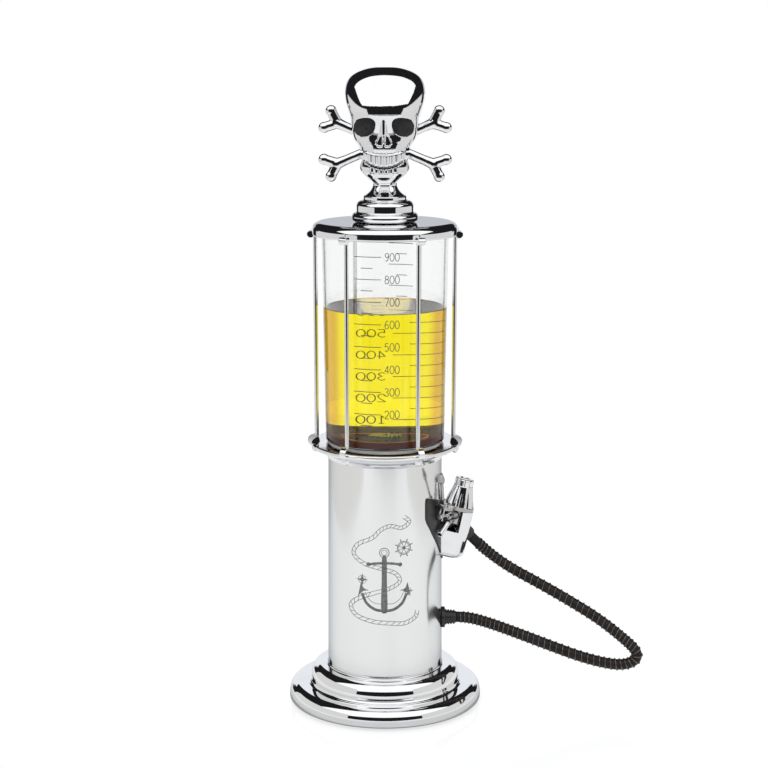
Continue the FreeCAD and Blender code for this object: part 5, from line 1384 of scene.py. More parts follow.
@dataclass
class Tank:
    """The clear graduated cup with the drink in it."""

    hole: float = 5.55  # radius of the hole in the floor
    bottom: tuple[float, float] = (41.8, 190.8)  # radius and level where the underside's round starts
    wall_foot: tuple[float, float] = (43.8, 192.8)
    wall_head: tuple[float, float] = (47.2, 346.5)
    bore_foot: tuple[float, float] = (41.6, 196.7)
    bore_head: tuple[float, float] = (45.0, 346.5)
    floor: tuple[float, float] = (39.1, 194.2)  # radius and level where the floor's round ends
    surface: float = 289.2  # level of the drink
    creep: tuple[float, float] = (0.9, 0.5)  # how wide and how high the drink creeps up the wall
    overlap: float = 0.05  # the drink's side into the wall
    reflection_piece_level: float = 192.7  # lowest level of the dark piece that is a painted reflection under the drink
    reflection_piece_radius: float = 43.3
    reflection_piece_gap: float = 0.2  # the dark piece's top lies so far under the drink
    step: float = 16.2  # height of 100 ml
    first_line: float = 201.4
    hundreds: int = 9
    rear_numbers: int = 6  # hundreds numbered behind
    ink_lift: float = 0.02
    ink_line: float = 0.5
    long_line: tuple[float, float] = (-22.2, -2.9)  # from x to x
    short_line: tuple[float, float] = (-17.5, -9.0)
    digit_left: float = -0.2
    digit_step: float = 3.75
    digit_drop: float = 2.85  # of a digit's lower edge under its line
    digit_wide: float = 3.0
    digit_high: float = 5.7

    def outside(self, height: np.ndarray) -> np.ndarray:
        """Returns the wall's outer radius at heights."""
        (low, foot), (high, head) = self.wall_foot, self.wall_head
        return low + (height - foot) * (high - low) / (head - foot)

    def inside(self, height: float) -> float:
        """Returns the wall's inner radius at a height."""
        (low, foot), (high, head) = self.bore_foot, self.bore_head
        return low + (height - foot) * (high - low) / (head - foot)

    def digit(self, number: str, x: float, z: float) -> list[np.ndarray]:
        """Strokes of one digit.

        Args:
            number: the digit.
            x: its left edge.
            z: its lower edge.

        Returns:
            Paths (x, z).
        """
        drawn: dict[str, list[np.ndarray]] = {
            "0": [ring_line(0.5, 0.5, 0.5, 0.5)],
            "1": [np.array([(0.2, 0.78), (0.52, 1.0), (0.52, 0.0)]), np.array([(0.2, 0.0), (0.84, 0.0)])],
            "2": [flowing([(0.04, 0.76), (0.24, 0.98), (0.62, 0.99), (0.92, 0.78), (0.72, 0.46),
                           (0.02, 0.02)], 5),
                  np.array([(0.02, 0.0), (0.98, 0.0)])],
            "3": [flowing([(0.06, 0.88), (0.46, 1.0), (0.88, 0.78), (0.42, 0.53)], 5),
                  flowing([(0.42, 0.53), (0.96, 0.28), (0.5, 0.0), (0.04, 0.12)], 5)],
            "4": [np.array([(0.74, 0.0), (0.74, 1.0), (0.02, 0.3), (1.0, 0.3)])],
            "5": [np.array([(0.9, 1.0), (0.16, 1.0), (0.1, 0.56)]),
                  flowing([(0.1, 0.56), (0.52, 0.64), (0.95, 0.32), (0.5, 0.0), (0.04, 0.1)], 5)],
            "6": [flowing([(0.86, 0.92), (0.46, 0.96), (0.08, 0.5), (0.14, 0.12), (0.5, 0.0), (0.92, 0.26),
                           (0.5, 0.56), (0.12, 0.36)], 5)],
            "7": [np.array([(0.04, 1.0), (0.96, 1.0), (0.36, 0.0)])],
            "8": [ring_line(0.5, 0.77, 0.38, 0.23), ring_line(0.5, 0.27, 0.46, 0.27)],
            "9": [flowing([(0.14, 0.08), (0.54, 0.04), (0.92, 0.5), (0.86, 0.88), (0.5, 1.0), (0.08, 0.74),
                           (0.5, 0.44), (0.88, 0.64)], 5)],
        }
        size = np.array([self.digit_wide, self.digit_high])
        return [path * size + np.array([x, z]) for path in drawn[number]]

    def scale(self) -> list[Shape]:
        """Returns the printed scale, in front and behind.

        Formula: a long line every step of height with its number beside it, and a short line
        halfway between two of them.

        Returns:
            The strokes.
        """
        marks: list[Shape] = []
        for turn, numbered in ((0.0, self.hundreds), (180.0, self.rear_numbers)):
            paths: list[np.ndarray] = []
            for hundred in range(1, self.hundreds + 1):
                level = self.first_line + self.step * (hundred - 1)
                paths.append(np.array([(x, level) for x in self.long_line]))
                for place, number in enumerate(f"{hundred}00" if hundred <= numbered else ""):
                    left = self.digit_left + place * self.digit_step
                    paths += self.digit(number, left, level - self.digit_drop)
                if hundred < self.hundreds:
                    paths.append(np.array([(x, level + self.step / 2) for x in self.short_line]))
            marks += [drum_stroke(path, self.ink_line, self.outside, self.ink_lift, turn) for path in paths]
        return marks

    def cup(self) -> Shape:
        """The cup.

        Returns:
            The cup, with its hole.
        """
        (radius, low), (round_radius, under) = self.floor, self.bottom
        corners = ((self.hole, under), (round_radius, under, QUARTER), self.wall_foot, self.wall_head,
                   self.bore_head, (*self.bore_foot, -QUARTER), (radius, low), (self.hole, low))
        return turned(Profile(corners, 0.3), FINE)

    def drink(self) -> Shape:
        """The drink, and under it a dark piece in the cup's floor that is a painted reflection of the collar.

        Returns:
            Both as one shape.
        """
        side, over, gap = self.inside(self.surface) + self.overlap, self.overlap, self.reflection_piece_gap
        (radius, low), (bore, foot), (wide, high) = self.floor, self.bore_foot, self.creep
        liquid = ((0, low + over), (radius + over, low + over, QUARTER), (bore + over, foot),
                  (side, self.surface + high), (side - wide, self.surface), (0, self.surface))
        # painted reflection: a dark piece in the drink's finish under the cup's floor, standing in for the
        # collar seen through it
        dark = ((0, self.reflection_piece_level), (self.reflection_piece_radius, self.reflection_piece_level), (self.reflection_piece_radius, foot - gap),
                (bore + gap, foot - gap, -QUARTER), (radius + gap, low - gap), (0, low - gap))
        return turned(Profile(liquid, 0.12), FINE).plus(turned(Profile(dark, 0.1), FINE))

    def build(self, bench: Bench) -> None:
        """Makes the cup, its scale and the drink.

        Args:
            bench: makes and dresses the pieces.
        """
        bench.piece("tank_cup", self.cup(), CLEAR, replaces=["tank"])
        marks = self.scale()
        bench.piece("tank_scale", marks[0].plus(*marks[1:]), INK)
        bench.piece("tank_drink", self.drink(), DRINK)


@dataclass
class Cage:
    """The six thin rods that hold the cap down on the tank."""

    count: int = 6

    def build(self, bench: Bench) -> None:
        """Dresses the rods."""
        bench.dress({f"cage_rod_{number}": ROD_CHROME for number in range(1, self.count + 1)})


@dataclass
class Cap:
    """The round cap with its skirt, lugs, rod bosses and filler neck."""

    corners: tuple[Corner, ...] = (
        (18, 352.1), (18, 341.7), (21, 341.7), (21, 347.7), (47.45, 347.7), (47.45, 344.3), (49.25, 344.3),
        (49.25, 347.7), (51.6, 347.7), (51.6, 342.3), (52.8, 342.3, QUARTER), (54.6, 344.1),
        (54.6, 346.6, 0.0927), (53.3, 350.0, 0.1063), (48.58, 352.1))
    lugs: Lugs = Lugs(radius=2.8, width=6.0, reach=55.2, level=342.6)
    boss_ring: float = 52.0
    boss_low: float = 342.3
    boss_high: float = 347.7

    def build(self, bench: Bench) -> None:
        """Makes the cap in one piece.

        Args:
            bench: makes and dresses the pieces.
        """
        lid = turned(Profile(self.corners, 0.3), 288)
        level, high = (self.boss_low + self.boss_high) / 2, self.boss_high - self.boss_low
        for turn, lug in zip(self.lugs.turns(), self.lugs.shapes()):
            middle = spun(self.boss_ring, 0, turn) + np.array([0, 0, level])
            lid = lid.plus(lug, round_stub(middle, (0, 0, 1), self.lugs.radius, high))
        bench.piece("cap_lid", lid, CHROME, replaces=["cap"])


@dataclass
class Stopper:
    """The stopper: stepped pedestal, skull, eye plates and crossed bones."""

    corners: tuple[Corner, ...] = (
        (0, 339.1), (15.5, 339.1), (17, 340.6), (17, 344.205), (15.7, 344.205), (15.7, 347.195),
        (17, 347.195), (17, 352.4), (22.7, 352.4, 0.34), (23.1, 358.6, -QUARTER), (21.5, 360.0),
        (21.5, 363.8, 0.0945), (20.5, 366.3, 0.1055), (16.9, 367.9), (16.2, 368.6), (16.2, 370.3, QUARTER),
        (15.0, 371.5, -0.1), (8.9, 378.9), (8.9, 382.1), (4.5, 382.1), (4.5, 391.1), (0, 391.1))
    skull_faces: float = 0.55
    bone_faces: float = 0.5
    bone_flatness: float = 0.7
    relaxing: int = 3  # rounds
    teeth_top: float = 404.0
    teeth_high: float = 12.0
    teeth_slope: float = 0.18  # how far the teeth lean back, by height
    lean_from: float = 8.0  # distance in front of the axis where the leaning starts
    lean_over: float = 8.0
    neck_level: float = 380.0
    neck_over: float = 6.0

    def leaning(self, points: np.ndarray) -> np.ndarray:
        """The skull's points with the teeth and the jaw's front set back a little.

        Formula: a point goes back by the slope times its depth under the teeth's top, times a
        share that grows from 0 to 1 towards the front and fades away at the neck.

        Args:
            points: the skull's points, in millimetres.

        Returns:
            The moved points.
        """
        drop = np.clip(self.teeth_top - points[:, 2], 0.0, self.teeth_high) * self.teeth_slope
        front = np.clip((-points[:, 1] - self.lean_from) / self.lean_over, 0.0, 1.0)
        above_neck = np.clip((points[:, 2] - self.neck_level) / self.neck_over, 0.0, 1.0)
        return points + np.stack([0 * drop, drop * front * above_neck, 0 * drop], axis=1)

    def flattened(self, points: np.ndarray) -> np.ndarray:
        """The bones' points drawn towards their middle plane.

        Formula: a point's distance from the plane halfway between front and back becomes the
        flatness times what it was.

        Args:
            points: the bones' points, in millimetres.

        Returns:
            The moved points.
        """
        middle = (points[:, 1].min() + points[:, 1].max()) / 2
        depth = middle + (points[:, 1] - middle) * self.bone_flatness
        return np.stack([points[:, 0], depth, points[:, 2]], axis=1)

    def build(self, bench: Bench) -> None:
        """Makes the pedestal and the moulded skull and bones.

        Args:
            bench: makes and dresses the pieces.
        """
        pedestal = turned(Profile(self.corners, 0.3), 192)
        bench.piece("pedestal_turning", pedestal, CHROME, Body.STOPPER, ["stopper_pedestal"])
        bench.node("stopper_seal", RUBBER)
        bench.organic("skull", "skull_casting", SOFT_CHROME, Body.STOPPER, self.skull_faces, self.relaxing,
                      self.leaning)
        bench.organic("crossbones", "bones_casting", SOFT_CHROME, Body.STOPPER, self.bone_faces,
                      self.relaxing, self.flattened)
        bench.node("eye_inlays", MATT_BLACK)


@dataclass
class Holster:
    """The pocket on the column's side that the tap hangs in, and a dark pad on the column that is a painted
    reflection of the pocket.
    """

    pad_radius: float = 42.02
    pad_thick: float = 0.9
    pad_levels: tuple[float, ...] = (103.0, 104.5, 112.0, 124.0, 135.5, 139.0, 150.0, 153.4, 154.0)
    pad_reach: tuple[float, ...] = (4.0, 9.0, 19.0, 33.0, 44.0, 46.0, 46.0, 45.4, 43.5)  # degrees each way
    pad_dip: float = 9.0  # how far the top edge dips in the middle
    pad_edge: float = 0.35  # share of the thickness left at the outline
    pad_rows: int = 60
    pad_columns: int = 49

    def pad(self) -> Shape:
        """The pad, a painted reflection of the pocket on the column: a shield that tapers downward.

        Formula: at each height it runs the same angle to both sides of the pocket's middle, at the
        column's radius inside and a wall's thickness more outside. Its top dips towards the middle.

        Returns:
            The pad.
        """
        rows, columns, edge = self.pad_rows, self.pad_columns, self.pad_edge
        knots = np.linspace(0, 1, len(self.pad_levels))
        level = np.interp(np.linspace(0, 1, rows), knots, self.pad_levels)
        reach = np.radians(np.interp(level, self.pad_levels, self.pad_reach))
        share = np.concatenate([np.linspace(-1, 1, columns), np.linspace(1, -1, columns)])
        front = np.concatenate([[edge], np.full(columns - 2, 1.0), [edge], np.zeros(columns)])
        ends = np.concatenate([[edge], np.full(rows - 2, 1.0), [edge]])
        angle = reach[:, None] * share[None, :]
        radius = self.pad_radius + self.pad_thick * front[None, :] * ends[:, None]
        climb = (level - level[0]) / (level[-1] - level[0])
        height = level[:, None] - self.pad_dip * climb[:, None] * (1.0 - np.abs(share))[None, :]
        grid = np.stack([radius * np.cos(angle), radius * np.sin(angle), height], axis=-1)
        shape = grid_shape(grid, wrap_columns=True)
        row, last = np.arange(columns - 1), 2 * columns - 1
        strip = np.stack([row, row + 1, last - row - 1, last - row], axis=1)
        top = strip[:, ::-1] + (rows - 1) * 2 * columns
        return Shape(shape.points, np.vstack([shape.quads, strip, top]))

    def build(self, bench: Bench) -> None:
        """Makes the pad of painted reflection, and dresses the pocket and its screws."""
        # painted reflection: a black pad on the column standing in for the pocket mirrored in it
        bench.piece("holster_reflection_pad", self.pad(), BLACK)
        bench.dress({"holster": SOFT_CHROME, "holster_screws": STEEL})


@dataclass
class Tap:
    """The lever tap: body, fluted grip, cap, spout, valve and lever."""

    spring_foot: Corner = (50.901, -4.367, 136.378)  # on the plunger's disc
    spring_ahead: Corner = (-0.5163, -0.848, 0.1192)  # the way the plunger is pulled
    spring_length: float = 7.75
    spring_turns: float = 4.5
    spring_radius: float = 1.85
    spring_wire: float = 0.45
    spring_points: int = 260
    plunger_travel: float = 3.0

    def spring(self) -> Shape:
        """The valve's coil spring.

        Formula: its point is the axis point plus the coil's radius times (side cos t + up sin t),
        and the axis point moves evenly along while t makes all the turns.

        Returns:
            The spring at rest.
        """
        share = np.linspace(0.0, 1.0, self.spring_points)[:, None]
        turn = share * 2 * math.pi * self.spring_turns
        side, up, ahead = frame_to(self.spring_ahead).T
        outward = side * np.cos(turn) + up * np.sin(turn)
        middle = np.array(self.spring_foot) + ahead * share * self.spring_length
        path = middle + outward * self.spring_radius
        return swept(path, outward, self.spring_wire, 8)

    def build(self, bench: Bench) -> None:
        """Makes the spring at rest, and dresses the tap.

        Args:
            bench: makes and dresses the pieces.
        """
        coil = bench.piece("valve_coil", self.spring(), STEEL, Body.TAP, ["valve_spring"])
        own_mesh(coil)
        # the tap body's darker chrome is painted shade for the inside of the pocket
        bench.dress({"tap_body": DARK_CHROME, "tap_grip": SOFT_CHROME, "grip_cap": SOFT_CHROME,
                     "spout": CHROME, "gland_nut": CHROME, "valve_plunger": ROD_CHROME,
                     "valve_seal": RUBBER, "lever": DARK_CHROME, "lever_knob": DARK_CHROME,
                     "lever_pin": STEEL})


@dataclass
class Hose:
    """The rubber hose from the column's foot to the tap, with a steel wire wound round it."""

    route: tuple[tuple[float, float, float], ...] = (
        (52.4, 0, 58.8), (61, 0, 58.8), (78, -0.4, 54.2), (100.5, -3.2, 46.8), (123, -6.6, 39.2),
        (145.5, -9.4, 31.8), (166.5, -11.8, 27.4), (178.5, -12.8, 27.9), (185.3, -13.2, 32.4),
        (184.8, -12.8, 38), (176, -11.2, 46), (158, -6.8, 59.4), (136, 0.4, 71.2), (114.5, 7.4, 81.8),
        (94, 12.6, 91.4), (78.5, 14.8, 101.6), (67.6, 11, 112.2), (62.336, 7.192, 118.404))
    radius: float = 4.2
    core: float = 3.75
    wire: float = 0.52
    ribs: int = 4
    length: float = 296.3
    pitches: tuple[tuple[float, float], ...] = (  # share of the length, and the wire's pitch there
        (0.0, 3.0), (0.1, 3.4), (0.3, 5.0), (0.44, 3.6), (0.52, 3.0), (0.6, 4.4), (0.8, 5.0), (0.95, 3.2),
        (1.0, 3.0))
    bend: Bend = Bend(Body.FRAME, Body.TAP, (0.0, 0.0, 66.0), (0.0, 0.0, 106.0))  # bodies and points for the hose's bend, which only bakes its place
    line_points: int = 2401
    path_every: int = 8  # the tube takes every eighth point of the line
    tube_sides: int = 24
    wire_step: float = 0.16  # distance between two points of the wire
    wire_sides: int = 6
    wire_out: float = 0.45  # share of the wire's radius outside the tube
    bare_ends: tuple[float, float] = (3.0, 12.0)  # length without wire at each end
    sleeve_radii: tuple[float, float] = (5.55, 4.9)
    sleeve_grip: float = 0.2  # the sleeve's bore is tighter than the tube by this
    rib_share: float = 0.55  # of a pitch
    rib_depth: float = 0.75

    def spline(self) -> bpy.types.Object:
        """A curve of one smooth spline on the hose's route.

        Returns:
            The curve's object.
        """
        curve = bpy.data.curves.new("hose_line", "CURVE")
        curve.dimensions = "3D"
        curve.resolution_u = 24
        spline = curve.splines.new("NURBS")
        spline.points.add(len(self.route) - 1)
        points = np.array(self.route) * MM
        spline.points.foreach_set("co", np.hstack([points, np.ones((len(points), 1))]).ravel())
        spline.order_u = 3
        spline.use_endpoint_u = True
        obj = bpy.data.objects.new("hose_line", curve)
        bpy.context.scene.collection.objects.link(obj)
        return obj

    def line(self) -> np.ndarray:
        """Points along the hose's middle, in millimetres, evenly spaced.

        Returns:
            The points, one a row.
        """
        bare = self.spline()
        evaluated = bare.evaluated_get(bpy.context.evaluated_depsgraph_get())
        mesh = bpy.data.meshes.new_from_object(evaluated)
        points = np.empty(len(mesh.vertices) * 3)
        mesh.vertices.foreach_get("co", points)
        bpy.data.objects.remove(bare)
        bpy.data.meshes.remove(mesh)
        return even_line(points.reshape(-1, 3) / MM, self.line_points)

    def winding(self, line: np.ndarray, start: float, finish: float) -> Shape:
        """The wire round the hose.

        Formula: its point is the hose's middle plus the ring's radius times (spoke cos t + cross
        sin t), and t grows by a full turn over each pitch, which changes along the hose.

        Args:
            line: points along the hose's middle.
            start: where the wire starts, in millimetres along the hose.
            finish: where it ends.

        Returns:
            The wire.
        """
        run = lengths(line)
        step = np.linspace(start, finish, int((finish - start) / self.wire_step))
        centre = np.stack([np.interp(step, run, line[:, axis]) for axis in range(3)], axis=1)
        shares, gaps = np.array(self.pitches).T
        pitch = np.interp(step / run[-1], shares, gaps)
        angle = np.cumsum(2 * math.pi / pitch) * (step[1] - step[0])
        ahead = unit(np.gradient(centre, axis=0))
        spoke = unit(np.cross(ahead, np.array([0.0, 1.0, 0.0])))
        cross = np.cross(ahead, spoke)
        outward = spoke * np.cos(angle)[:, None] + cross * np.sin(angle)[:, None]
        ring = self.core + self.wire * self.wire_out
        return swept(centre + outward * ring, outward, self.wire, self.wire_sides)

    def sleeve(self) -> Shape:
        """The ribbed sleeve at the hose's exit.

        Formula: a profile with a rib every pitch, narrowing evenly, turned about Z and laid
        along X.

        Returns:
            The sleeve.
        """
        low, high = (np.array(corner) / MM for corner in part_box("hose_relief"))
        long, count = high[0] - low[0], self.ribs
        start = np.arange(count) * long / count
        outer = np.interp(start, [0.0, long], self.sleeve_radii)
        groove, finish = start + long / count * self.rib_share, start + long / count
        steps = np.stack([start, groove, groove, finish], axis=1)
        radii = np.stack([outer, outer, outer - self.rib_depth, outer - self.rib_depth], axis=1)
        edge = [(float(radius), float(step)) for radius, step in zip(radii.ravel(), steps.ravel())]
        bore = self.core - self.sleeve_grip
        corners = ((bore, 0.0), *edge, (bore, float(long)))
        to_x = np.array([[0.0, 0.0, 1.0], [0.0, 1.0, 0.0], [-1.0, 0.0, 0.0]])
        middle = (low + high) / 2
        return turned(Profile(corners, 0.1), 96).moved(to_x, (low[0], middle[1], middle[2]))

    def build(self, bench: Bench) -> None:
        """Makes the hose and its winding, and dresses its ends.

        Args:
            bench: makes and dresses the pieces.
        """
        line = self.line()
        path = line[::self.path_every]
        tube = swept(path, np.tile([0.0, 1.0, 0.0], (len(path), 1)), self.core, self.tube_sides)
        wire = self.winding(line, self.bare_ends[0], self.length - self.bare_ends[1])
        core = bench.piece("hose_core", tube, RUBBER, self.bend, ["hose"])
        coil = bench.piece("hose_winding", wire, WIRE, self.bend)
        bench.piece("hose_sleeve", self.sleeve(), BLACK, replaces=["hose_relief"])
        bench.node("hose_ferrule", BLACK)


# ---------------------------------------------------------------- studio
@dataclass(frozen=True)
class PaleFloor(Finish):
    """The floor: pale to the camera, and where metal mirrors it darker by its distance, a painted shadow near
    the foot and a painted shade behind.
    """

    name: str = "pale_floor"
    matt: Colour = (0.86, 0.87, 0.88)
    glow_share: float = 0.66
    glow: float = 1.2  # strength for every ray but a mirrored one
    dark: float = 0.12  # painted contact shadow: strength mirrored close to the foot
    first_step: tuple[float, float, float] = (0.0775, 0.002, 0.45)  # edge and softness in metres, and rise
    second_step: tuple[float, float, float] = (0.125, 0.035, 0.30)
    near_step: tuple[float, float] = (-0.85, 0.04)  # Y behind which the floor is mirrored at all
    rear_step: tuple[float, float] = (0.45, 0.2)  # Y behind which a painted shade makes it darker
    rear_loss: float = 0.3
    sheen: float = 0.10
    sheen_rough: float = 0.09

    def build(self, graph: Graph) -> bpy.types.NodeSocket:
        """Fills the graph.

        Args:
            graph: the graph to fill.

        Returns:
            The shader.
        """
        path = graph.add("ShaderNodeLightPath")
        x, y, _ = graph.place()
        away = graph.away(x, y)
        rises = [graph.product(graph.step(away, edge, soft), rise)
                 for edge, soft, rise in (self.first_step, self.second_step)]
        # painted shadow near the foot and painted shade behind it, seen only where metal mirrors the floor
        level = graph.math("ADD", self.dark, graph.total(*rises))
        behind = graph.product(graph.step(y, *self.rear_step), self.rear_loss)
        mirrored = graph.product(graph.step(y, *self.near_step), graph.math("SUBTRACT", level, behind))
        kind = graph.mirrored_only(path)
        other = graph.product(graph.math("SUBTRACT", 1.0, kind), self.glow)
        glow = graph.add("ShaderNodeEmission")
        glow.inputs["Color"].default_value = (1.0, 1.0, 1.0, 1.0)
        graph.link(graph.total(graph.product(kind, mirrored), other), glow.inputs["Strength"])
        seen = graph.math("MAXIMUM", path.outputs["Is Camera Ray"], path.outputs["Is Transmission Ray"])
        seen = graph.math("MAXIMUM", seen, path.outputs["Is Glossy Ray"])
        floor = graph.mix(graph.product(seen, self.glow_share), graph.diffuse(self.matt),
                          glow.outputs["Emission"])
        gloss = graph.add("ShaderNodeBsdfGlossy")
        gloss.inputs["Roughness"].default_value = self.sheen_rough
        gloss.inputs["Color"].default_value = (1.0, 1.0, 1.0, 1.0)
        return graph.mix(graph.product(path.outputs["Is Camera Ray"], self.sheen), floor,
                         gloss.outputs["BSDF"])


@dataclass(frozen=True)
class CardTone(Finish):
    """A card that only metal mirrors."""

    name: str
    tone: Colour

    def build(self, graph: Graph) -> bpy.types.NodeSocket:
        """Fills the graph.

        Args:
            graph: the graph to fill.

        Returns:
            The shader.
        """
        glow = graph.add("ShaderNodeEmission")
        glow.inputs["Color"].default_value = (*self.tone, 1.0)
        unseen = graph.add("ShaderNodeBsdfTransparent")
        return graph.mix(graph.mirrored_only(graph.add("ShaderNodeLightPath")), unseen.outputs["BSDF"],
                         glow.outputs["Emission"])


@dataclass(frozen=True)
class Lamp:
    """A square soft lamp."""

    name: str
    place: Corner
    watts: float
    aim: Corner = (0.0, 0.0, 0.2)
    size: float = 0.9


@dataclass(frozen=True)
class Card:
    """An upright card on the floor between two points (x, y)."""

    finish: CardTone
    first: Corner
    last: Corner
    high: float


@dataclass(frozen=True)
class Edge:
    """A soft edge in the world: its angle in degrees, and half its width in radians."""

    degrees: float
    soft: float
    rising: bool = True  # what it bounds lies past it

    def mask(self, graph: Graph, angle: bpy.types.NodeSocket) -> bpy.types.NodeSocket:
        """Returns 1 on the bounded side of the edge and 0 on the other."""
        return graph.step(angle, math.radians(self.degrees), self.soft, self.rising)


@dataclass(frozen=True)
class Panel:
    """A panel of the world that metal mirrors, between edges aside from the front and in height."""

    tone: Colour
    aside: tuple[Edge, ...]
    level: tuple[Edge, ...]

    def mask(self, graph: Graph, aside: bpy.types.NodeSocket,
             level: bpy.types.NodeSocket) -> bpy.types.NodeSocket:
        """The panel's mask.

        Args:
            graph: the graph to fill.
            aside: angle from the front.
            level: angle over the horizon.

        Returns:
            1 on the panel and 0 off it.
        """
        return graph.product(*(edge.mask(graph, aside) for edge in self.aside),
                             *(edge.mask(graph, level) for edge in self.level))


@dataclass
class Studio:
    """Camera, pale floor, lamps and a world that differs by the kind of ray.

    Lengths are in metres, and the lens and sensor in millimetres.
    """

    lens: float = 85.3
    sensor: float = 36.0
    clip: tuple[float, float] = (0.05, 20.0)
    distance: float = 1.35
    eye: float = 0.4881
    shift: tuple[float, float] = (-1 / 768, -0.4505)
    floor_rings: tuple[float, ...] = (0.0, 0.12, 0.3, 0.7, 1.25)
    floor_steps: int = 96
    floor_finish: PaleFloor = PaleFloor()
    lamps: tuple[Lamp, ...] = (
        Lamp("key_lamp", (-0.7, -1.1, 1.5), 9.0), Lamp("fill_lamp", (1.1, -0.7, 1.0), 4.0))
    cards: tuple[Card, ...] = (
        Card(CardTone("left_card", (0.74, 0.735, 0.72)), (-0.5, -0.55), (-0.5, 0.45), 0.32),
        Card(CardTone("right_card", (0.74, 0.735, 0.72)), (0.5, 0.45), (0.5, -0.55), 0.32),
        Card(CardTone("rear_card", (0.88, 0.90, 0.94)), (-0.55, 1.0), (0.55, 1.0), 0.42))
    panels: tuple[Panel, ...] = (
        Panel((0.76, 0.755, 0.74), (Edge(45.0, 0.03), Edge(128.0, 0.04, False)), (Edge(4.0, 0.03, False),)),
        Panel((0.54, 0.555, 0.60), (Edge(152.0, 0.06),), (Edge(13.0, 0.04, False),)))
    base_tone: Colour = (0.012, 0.012, 0.013)  # what metal mirrors between the panels
    clear_edge: Edge = Edge(150.0, 0.25)
    clear_tones: tuple[float, float] = (0.90, 1.0)  # what clear parts show before that edge and past it
    soft_light: float = 0.82
    box_tone: Colour = (1.14, 1.14, 1.14)
    box_tilt: float = 58.0  # degrees over the horizon of the soft box's middle
    box_reach: tuple[float, float] = (1.85, 0.72)  # half its width and height, over its distance
    box_soft: tuple[float, float] = (0.04, 0.02)  # softness of its upright and level edges
    box_front: tuple[float, float] = (0.05, 0.03)  # least depth of a direction that meets it, and softness
    least_depth: float = 0.02  # keeps the division from zero

    def camera(self) -> None:
        """Places a level camera."""
        data = bpy.data.cameras.new("view_camera")
        data.lens = self.lens
        data.sensor_width = self.sensor
        data.shift_x, data.shift_y = self.shift
        data.clip_start, data.clip_end = self.clip
        obj = bpy.data.objects.new("view_camera", data)
        obj.location = (0.0, -self.distance, self.eye)
        obj.rotation_euler = (math.pi / 2, 0.0, 0.0)
        bpy.context.scene.collection.objects.link(obj)
        bpy.context.scene.camera = obj

    @staticmethod
    def stand(mesh: bpy.types.Mesh, finish: Finish) -> bpy.types.Material:
        """Puts a mesh on the stage.

        Args:
            mesh: the mesh, whose name the object takes.
            finish: its finish.

        Returns:
            The finish's material.
        """
        obj = bpy.data.objects.new(mesh.name, mesh)
        bpy.context.scene.collection.objects.link(obj)
        material = finish.material()
        mesh.materials.append(material)
        return material

    def lay_floor(self) -> None:
        """Lays a pale disc that keeps the object's shadow.

        Formula: point (i, j) is (r_j cos a_i, r_j sin a_i, 0) for equal steps of the angle a.
        """
        angle = np.linspace(0, 2 * math.pi, self.floor_steps, endpoint=False)[:, None]
        reach = np.array([self.floor_rings])
        grid = np.stack([reach * np.cos(angle), reach * np.sin(angle), 0 * reach * angle], axis=-1)
        shape = grid_shape(grid, wrap_rows=True)
        mesh = bpy.data.meshes.new("pale_floor")
        mesh.from_pydata(shape.points.tolist(), [], shape.quads.tolist())
        Bench.close(mesh)
        self.stand(mesh, self.floor_finish)

    def hang_lamps(self) -> None:
        """Hangs the soft lamps, which metal doesn't mirror."""
        for lamp in self.lamps:
            data = bpy.data.lights.new(lamp.name, "AREA")
            data.size = lamp.size
            data.energy = lamp.watts
            obj = bpy.data.objects.new(lamp.name, data)
            obj.location = lamp.place
            ahead = np.array(lamp.aim) - np.array(lamp.place)
            down = math.atan2(ahead[2], math.hypot(ahead[0], ahead[1]))
            obj.rotation_euler = (math.pi / 2 + down, 0.0, math.atan2(-ahead[0], ahead[1]))
            obj.visible_glossy = False
            bpy.context.scene.collection.objects.link(obj)

    def stand_cards(self) -> None:
        """Stands the cards: one at each side and one behind."""
        for card in self.cards:
            first, last, high = card.first, card.last, card.high
            mesh = bpy.data.meshes.new(card.finish.name)
            corners = [(*first, 0.0), (*last, 0.0), (*last, high), (*first, high)]
            mesh.from_pydata(corners, [], [(0, 1, 2, 3)])
            self.stand(mesh, card.finish).cycles.emission_sampling = "NONE"

    def soft_box(self, graph: Graph, right: bpy.types.NodeSocket, front: bpy.types.NodeSocket,
                 up: bpy.types.NodeSocket) -> bpy.types.NodeSocket:
        """The mask of a soft box high in front.

        Formula: depth is the part of the direction towards the box's middle and rise the part
        square to it and to the horizon; the mask is 1 where the direction's right and rise, each
        over depth, are within the box's half width and half height.

        Args:
            graph: the graph to fill.
            right: the direction's part to the right.
            front: its part to the front.
            up: its part upward.

        Returns:
            The mask.
        """
        tilt = math.radians(self.box_tilt)
        depth = graph.total(graph.product(front, math.cos(tilt)), graph.product(up, math.sin(tilt)))
        rise = graph.math("SUBTRACT", graph.product(up, math.cos(tilt)), graph.product(front, math.sin(tilt)))
        safe = graph.math("MAXIMUM", depth, self.least_depth)
        masks = [graph.step(depth, *self.box_front)]
        for part, reach, soft in zip((right, rise), self.box_reach, self.box_soft):
            slant = graph.math("ABSOLUTE", graph.math("DIVIDE", part, safe))
            masks.append(graph.step(slant, reach, soft, False))
        return graph.product(*masks)

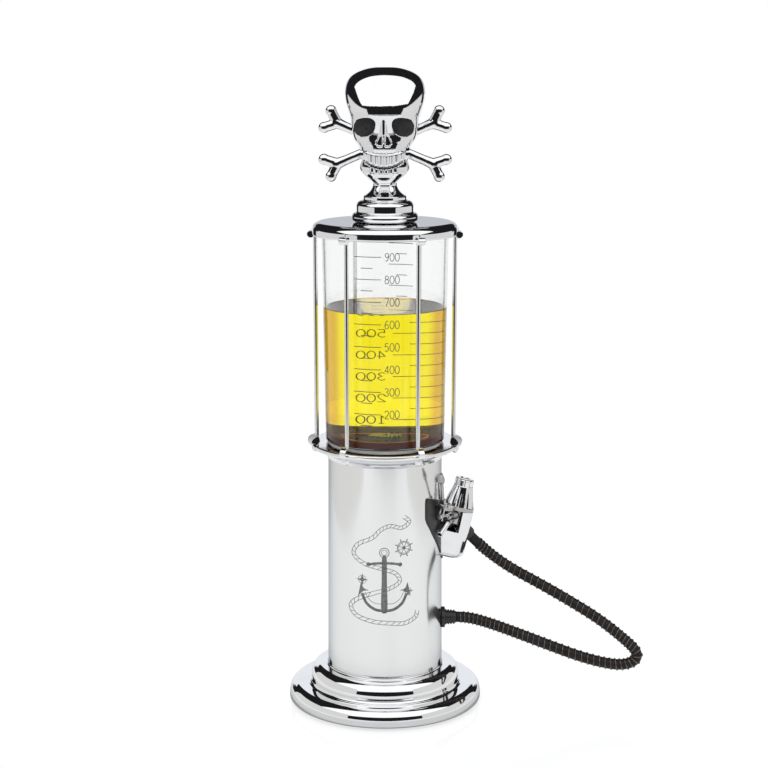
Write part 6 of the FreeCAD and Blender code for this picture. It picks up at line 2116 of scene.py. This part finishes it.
    def world(self) -> None:
        """Sets the surroundings: plain for camera and soft light, panels for metal, pale for clear parts.

        Formula: the angle aside is that of (right, front) from the front, without its sign, and
        the level is the arc sine of the direction's upward part.
        """
        world = bpy.data.worlds.new("studio_world")
        bpy.context.scene.world = world
        world.use_nodes = True
        graph = Graph(world.node_tree)
        right, back, up = graph.place("Generated")
        front = graph.product(back, -1.0)
        aside = graph.math("ABSOLUTE", graph.math("ARCTAN2", right, front))
        level = graph.math("ARCSINE", up)
        lights = [(panel.mask(graph, aside, level), panel.tone) for panel in self.panels]
        lights.append((self.soft_box(graph, right, front, up), self.box_tone))
        total: Optional[bpy.types.NodeSocket] = None
        for mask, colour in lights:
            tone = graph.add("ShaderNodeVectorMath", operation="SCALE")
            tone.inputs[0].default_value = colour
            graph.link(mask, tone.inputs["Scale"])
            adding = graph.add("ShaderNodeVectorMath", operation="ADD")
            graph.link(tone.outputs["Vector"], adding.inputs[0])
            if total is None:
                adding.inputs[1].default_value = self.base_tone
            else:
                graph.link(total, adding.inputs[1])
            total = adding.outputs["Vector"]
        clear_tone = graph.add("ShaderNodeMapRange")
        graph.link(self.clear_edge.mask(graph, aside), clear_tone.inputs["Value"])
        for name, number in zip(("To Min", "To Max"), self.clear_tones):
            clear_tone.inputs[name].default_value = number
        kinds = graph.add("ShaderNodeLightPath")
        last = self.shade(graph, (1.0, 1.0, 1.0), self.soft_light)
        pale = self.shade(graph, clear_tone.outputs["Result"])
        for kind, shader in (("Is Glossy Ray", self.shade(graph, total)), ("Is Transmission Ray", pale),
                             ("Is Camera Ray", self.shade(graph, (1.0, 1.0, 1.0)))):
            last = graph.mix(kinds.outputs[kind], last, shader)
        graph.output(last, "ShaderNodeOutputWorld")

    @staticmethod
    def shade(graph: Graph, colour: bpy.types.NodeSocket | Colour, strength: float = 1.0
              ) -> bpy.types.NodeSocket:
        """A Background shader of a linked or plain colour.

        Args:
            graph: the graph to fill.
            colour: a socket or a plain colour.
            strength: its strength.

        Returns:
            The shader.
        """
        node = graph.add("ShaderNodeBackground")
        if isinstance(colour, bpy.types.NodeSocket):
            graph.link(colour, node.inputs["Color"])
        else:
            node.inputs["Color"].default_value = (*colour, 1.0)
        node.inputs["Strength"].default_value = strength
        return node.outputs["Background"]

    def build(self) -> None:
        """Sets up the whole studio but the camera."""
        self.lay_floor()
        self.hang_lamps()
        self.stand_cards()
        self.world()
        bpy.context.scene.view_settings.view_transform = "Standard"


def main() -> None:
    """Builds the dispenser and its studio."""
    logging.basicConfig(level=logging.INFO, format="%(name)s: %(message)s")
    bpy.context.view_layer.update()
    studio = Studio()
    studio.camera()
    bench = Bench()
    for part in (Hose(), Foot(), Column(), Engraving(), Collar(), Tank(), Cage(), Cap(), Stopper(), Holster(),
                 Tap()):
        LOG.info("building %s", type(part).__name__)
        part.build(bench)
    studio.build()
    LOG.info("%d pieces dressed", bench.count)


if __name__ == "__main__":
    main()
